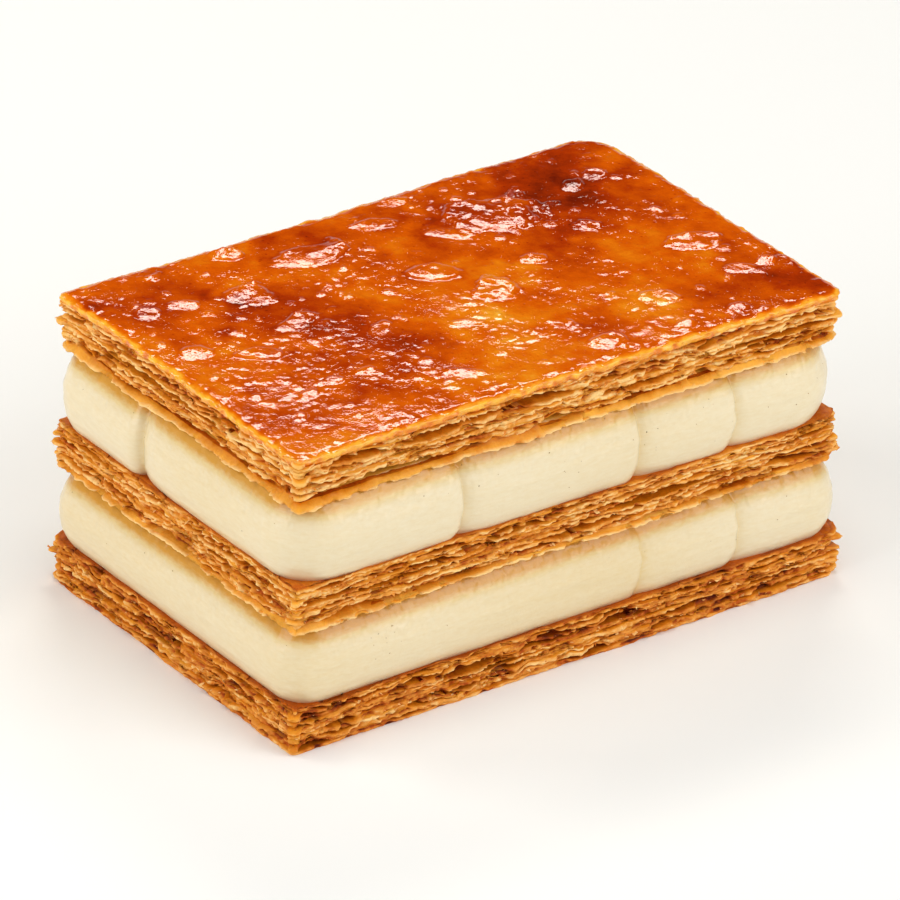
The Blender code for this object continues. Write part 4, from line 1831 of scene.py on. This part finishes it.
def pastries() -> list[Pastry]:
    """Return the three pastry layers, from the bottom up."""
    rusty = CrumbFinish("baked_puff_pastry_base", browning=0.05)
    golden = CrumbFinish("baked_puff_pastry_middle", browning=-0.03)
    pale = CrumbFinish("baked_puff_pastry_top", browning=-0.04)
    bottom = Pastry(
        "pastry_bottom", 11, (5, 6), (0.2, 0.35, 0.15, 0.45), (0.2, 0.45, 0.15, 0.3, 0.1),
        (Pocket(Side.FRONT, 30.0, 6.0, 2, 0.7, 2.5),
         Pocket(Side.FRONT, 71.0, 7.0, 3, 0.6, 2.5),
         Pocket(Side.BACK, 40.0, 8.0, 2, 0.8, 3.0)),
        (Pocket(Side.FRONT, 32.0, 5.8, 0, 3.0, 3.0),
         Pocket(Side.FRONT, 60.0, 4.8, 1, 2.4, 3.0),
         Pocket(Side.RIGHT, 30.0, 9.0, 1, 0.8, 3.0)),
        (Pocket(Side.FRONT, 34.0, 7.0, 0, 0.6, 3.0),),
        (0.35, 0.35, 0.25, 0.1, 0.0), (0.0, 0.1, 0.15, 0.1, 0.0, 0.1), rusty,
        tone=0.10, level_floor=True, seam_openness=0.3, corners=(0.4 * MM, 3.6 * MM, 1.6 * MM, 3.2 * MM))
    middle = Pastry(
        "pastry_middle", 23, (5, 6), (0.6, 0.15, 0.45, 0.2), (0.3, 0.1, 0.5, 0.15, 0.2),
        (Pocket(Side.FRONT, 12.0, 7.0, 0, 0.9, 3.0),
         Pocket(Side.FRONT, 52.0, 9.0, 2, 0.8, 3.0),
         Pocket(Side.FRONT, 80.0, 9.0, 0, 0.9, 3.2),
         Pocket(Side.LEFT, 28.0, 12.0, 0, 0.8, 3.0)),
        (Pocket(Side.FRONT, 40.0, 6.0, 2, 0.6, 2.6),
         Pocket(Side.FRONT, 64.0, 8.0, 2, 0.8, 3.0),
         Pocket(Side.LEFT, 12.0, 8.0, 2, 0.7, 2.6)),
        (Pocket(Side.FRONT, 70.0, 12.0, 0, 0.7, 3.0),
         Pocket(Side.FRONT, 18.0, 8.0, 0, 0.6, 3.0)),
        (0.45, 0.0, 0.1, 0.05, 0.0), (0.1, 0.0, 0.1, 0.0, 0.0, 0.05), golden,
        droop=0.35 * MM, corner_droop=0.4 * MM, tone=0.03, seam_openness=0.45, foot_share=0.6,
        corners=(0.4 * MM, 3.4 * MM, 1.6 * MM, 0.9 * MM))
    top = Pastry(
        "pastry_top", 37, (5, 5), (0.75, 0.2, 0.5, 0.2), (0.2, 0.65, 0.1, 0.3),
        (Pocket(Side.FRONT, 14.0, 12.0, 0, 0.9, 3.5),
         Pocket(Side.LEFT, 30.0, 26.0, 0, 0.7, 3.0)),
        (Pocket(Side.FRONT, 9.0, 6.0, 1, 0.9, 3.5),
         Pocket(Side.FRONT, 28.0, 6.5, 1, 0.9, 3.5),
         Pocket(Side.FRONT, 42.0, 5.0, 1, 1.5, 4.0),
         Pocket(Side.LEFT, 36.0, 24.0, 2, 0.6, 2.6)),
        (Pocket(Side.LEFT, 28.0, 28.0, 0, 0.7, 3.4),
         Pocket(Side.FRONT, 86.0, 14.0, 0, 0.9, 3.6)),
        (0.55, 0.0, 0.15, 0.1, 0.0), (0.1, 0.0, 0.05, 0.0, -0.05), pale,
        droop=0.8 * MM, corner_droop=0.5 * MM, tone=-0.02, top_skin=0.6, seam_openness=0.5, foot_share=0.45,
        corners=(0.8 * MM, 2.2 * MM, 5.0 * MM, 0.8 * MM), headroom=0.75 * MM)
    return [bottom, middle, top]


def creams() -> list[CreamLayer]:
    """Return the two cream layers, from the bottom up."""
    finish = CreamFinish()
    lower = CreamLayer("cream_lower", 51, (
        Crease(Side.FRONT, 63.4, 0.5), Crease(Side.FRONT, 82.3, 0.9), Crease(Side.RIGHT, 22.0, 1.0),
        Crease(Side.BACK, 38.0, 1.3), Crease(Side.BACK, 77.0, 1.1)), finish)
    upper = CreamLayer("cream_upper", 63, (
        Crease(Side.FRONT, 29.3, 1.5), Crease(Side.FRONT, 62.8, 1.3),
        Crease(Side.FRONT, 81.2, 1.1), Crease(Side.LEFT, 42.9, 1.7, 1.4),
        Crease(Side.RIGHT, 40.0, 1.2), Crease(Side.BACK, 26.0, 1.3),
        Crease(Side.BACK, 56.0, 1.2)), finish,
        corners=(8.5 * MM, 10.0 * MM, 7.0 * MM, 6.5 * MM), overhang=0.25 * MM)
    return [lower, upper]


def main() -> None:
    """Build the studio and the slice.
    """
    logging.basicConfig(level=logging.INFO, format="%(name)s: %(message)s")
    Studio().build()
    for number, pastry in enumerate(pastries()):
        pastry.build()
        LooseFlakes(pastry, 200 + number).build()
    for number, cream in enumerate(creams()):
        cream.build()
        VanillaSpecks(cream, SpeckFinish(), 300 + number).build()
    Glaze("pastry_top", GlazeFinish()).build()


if __name__ == "__main__":
    main()
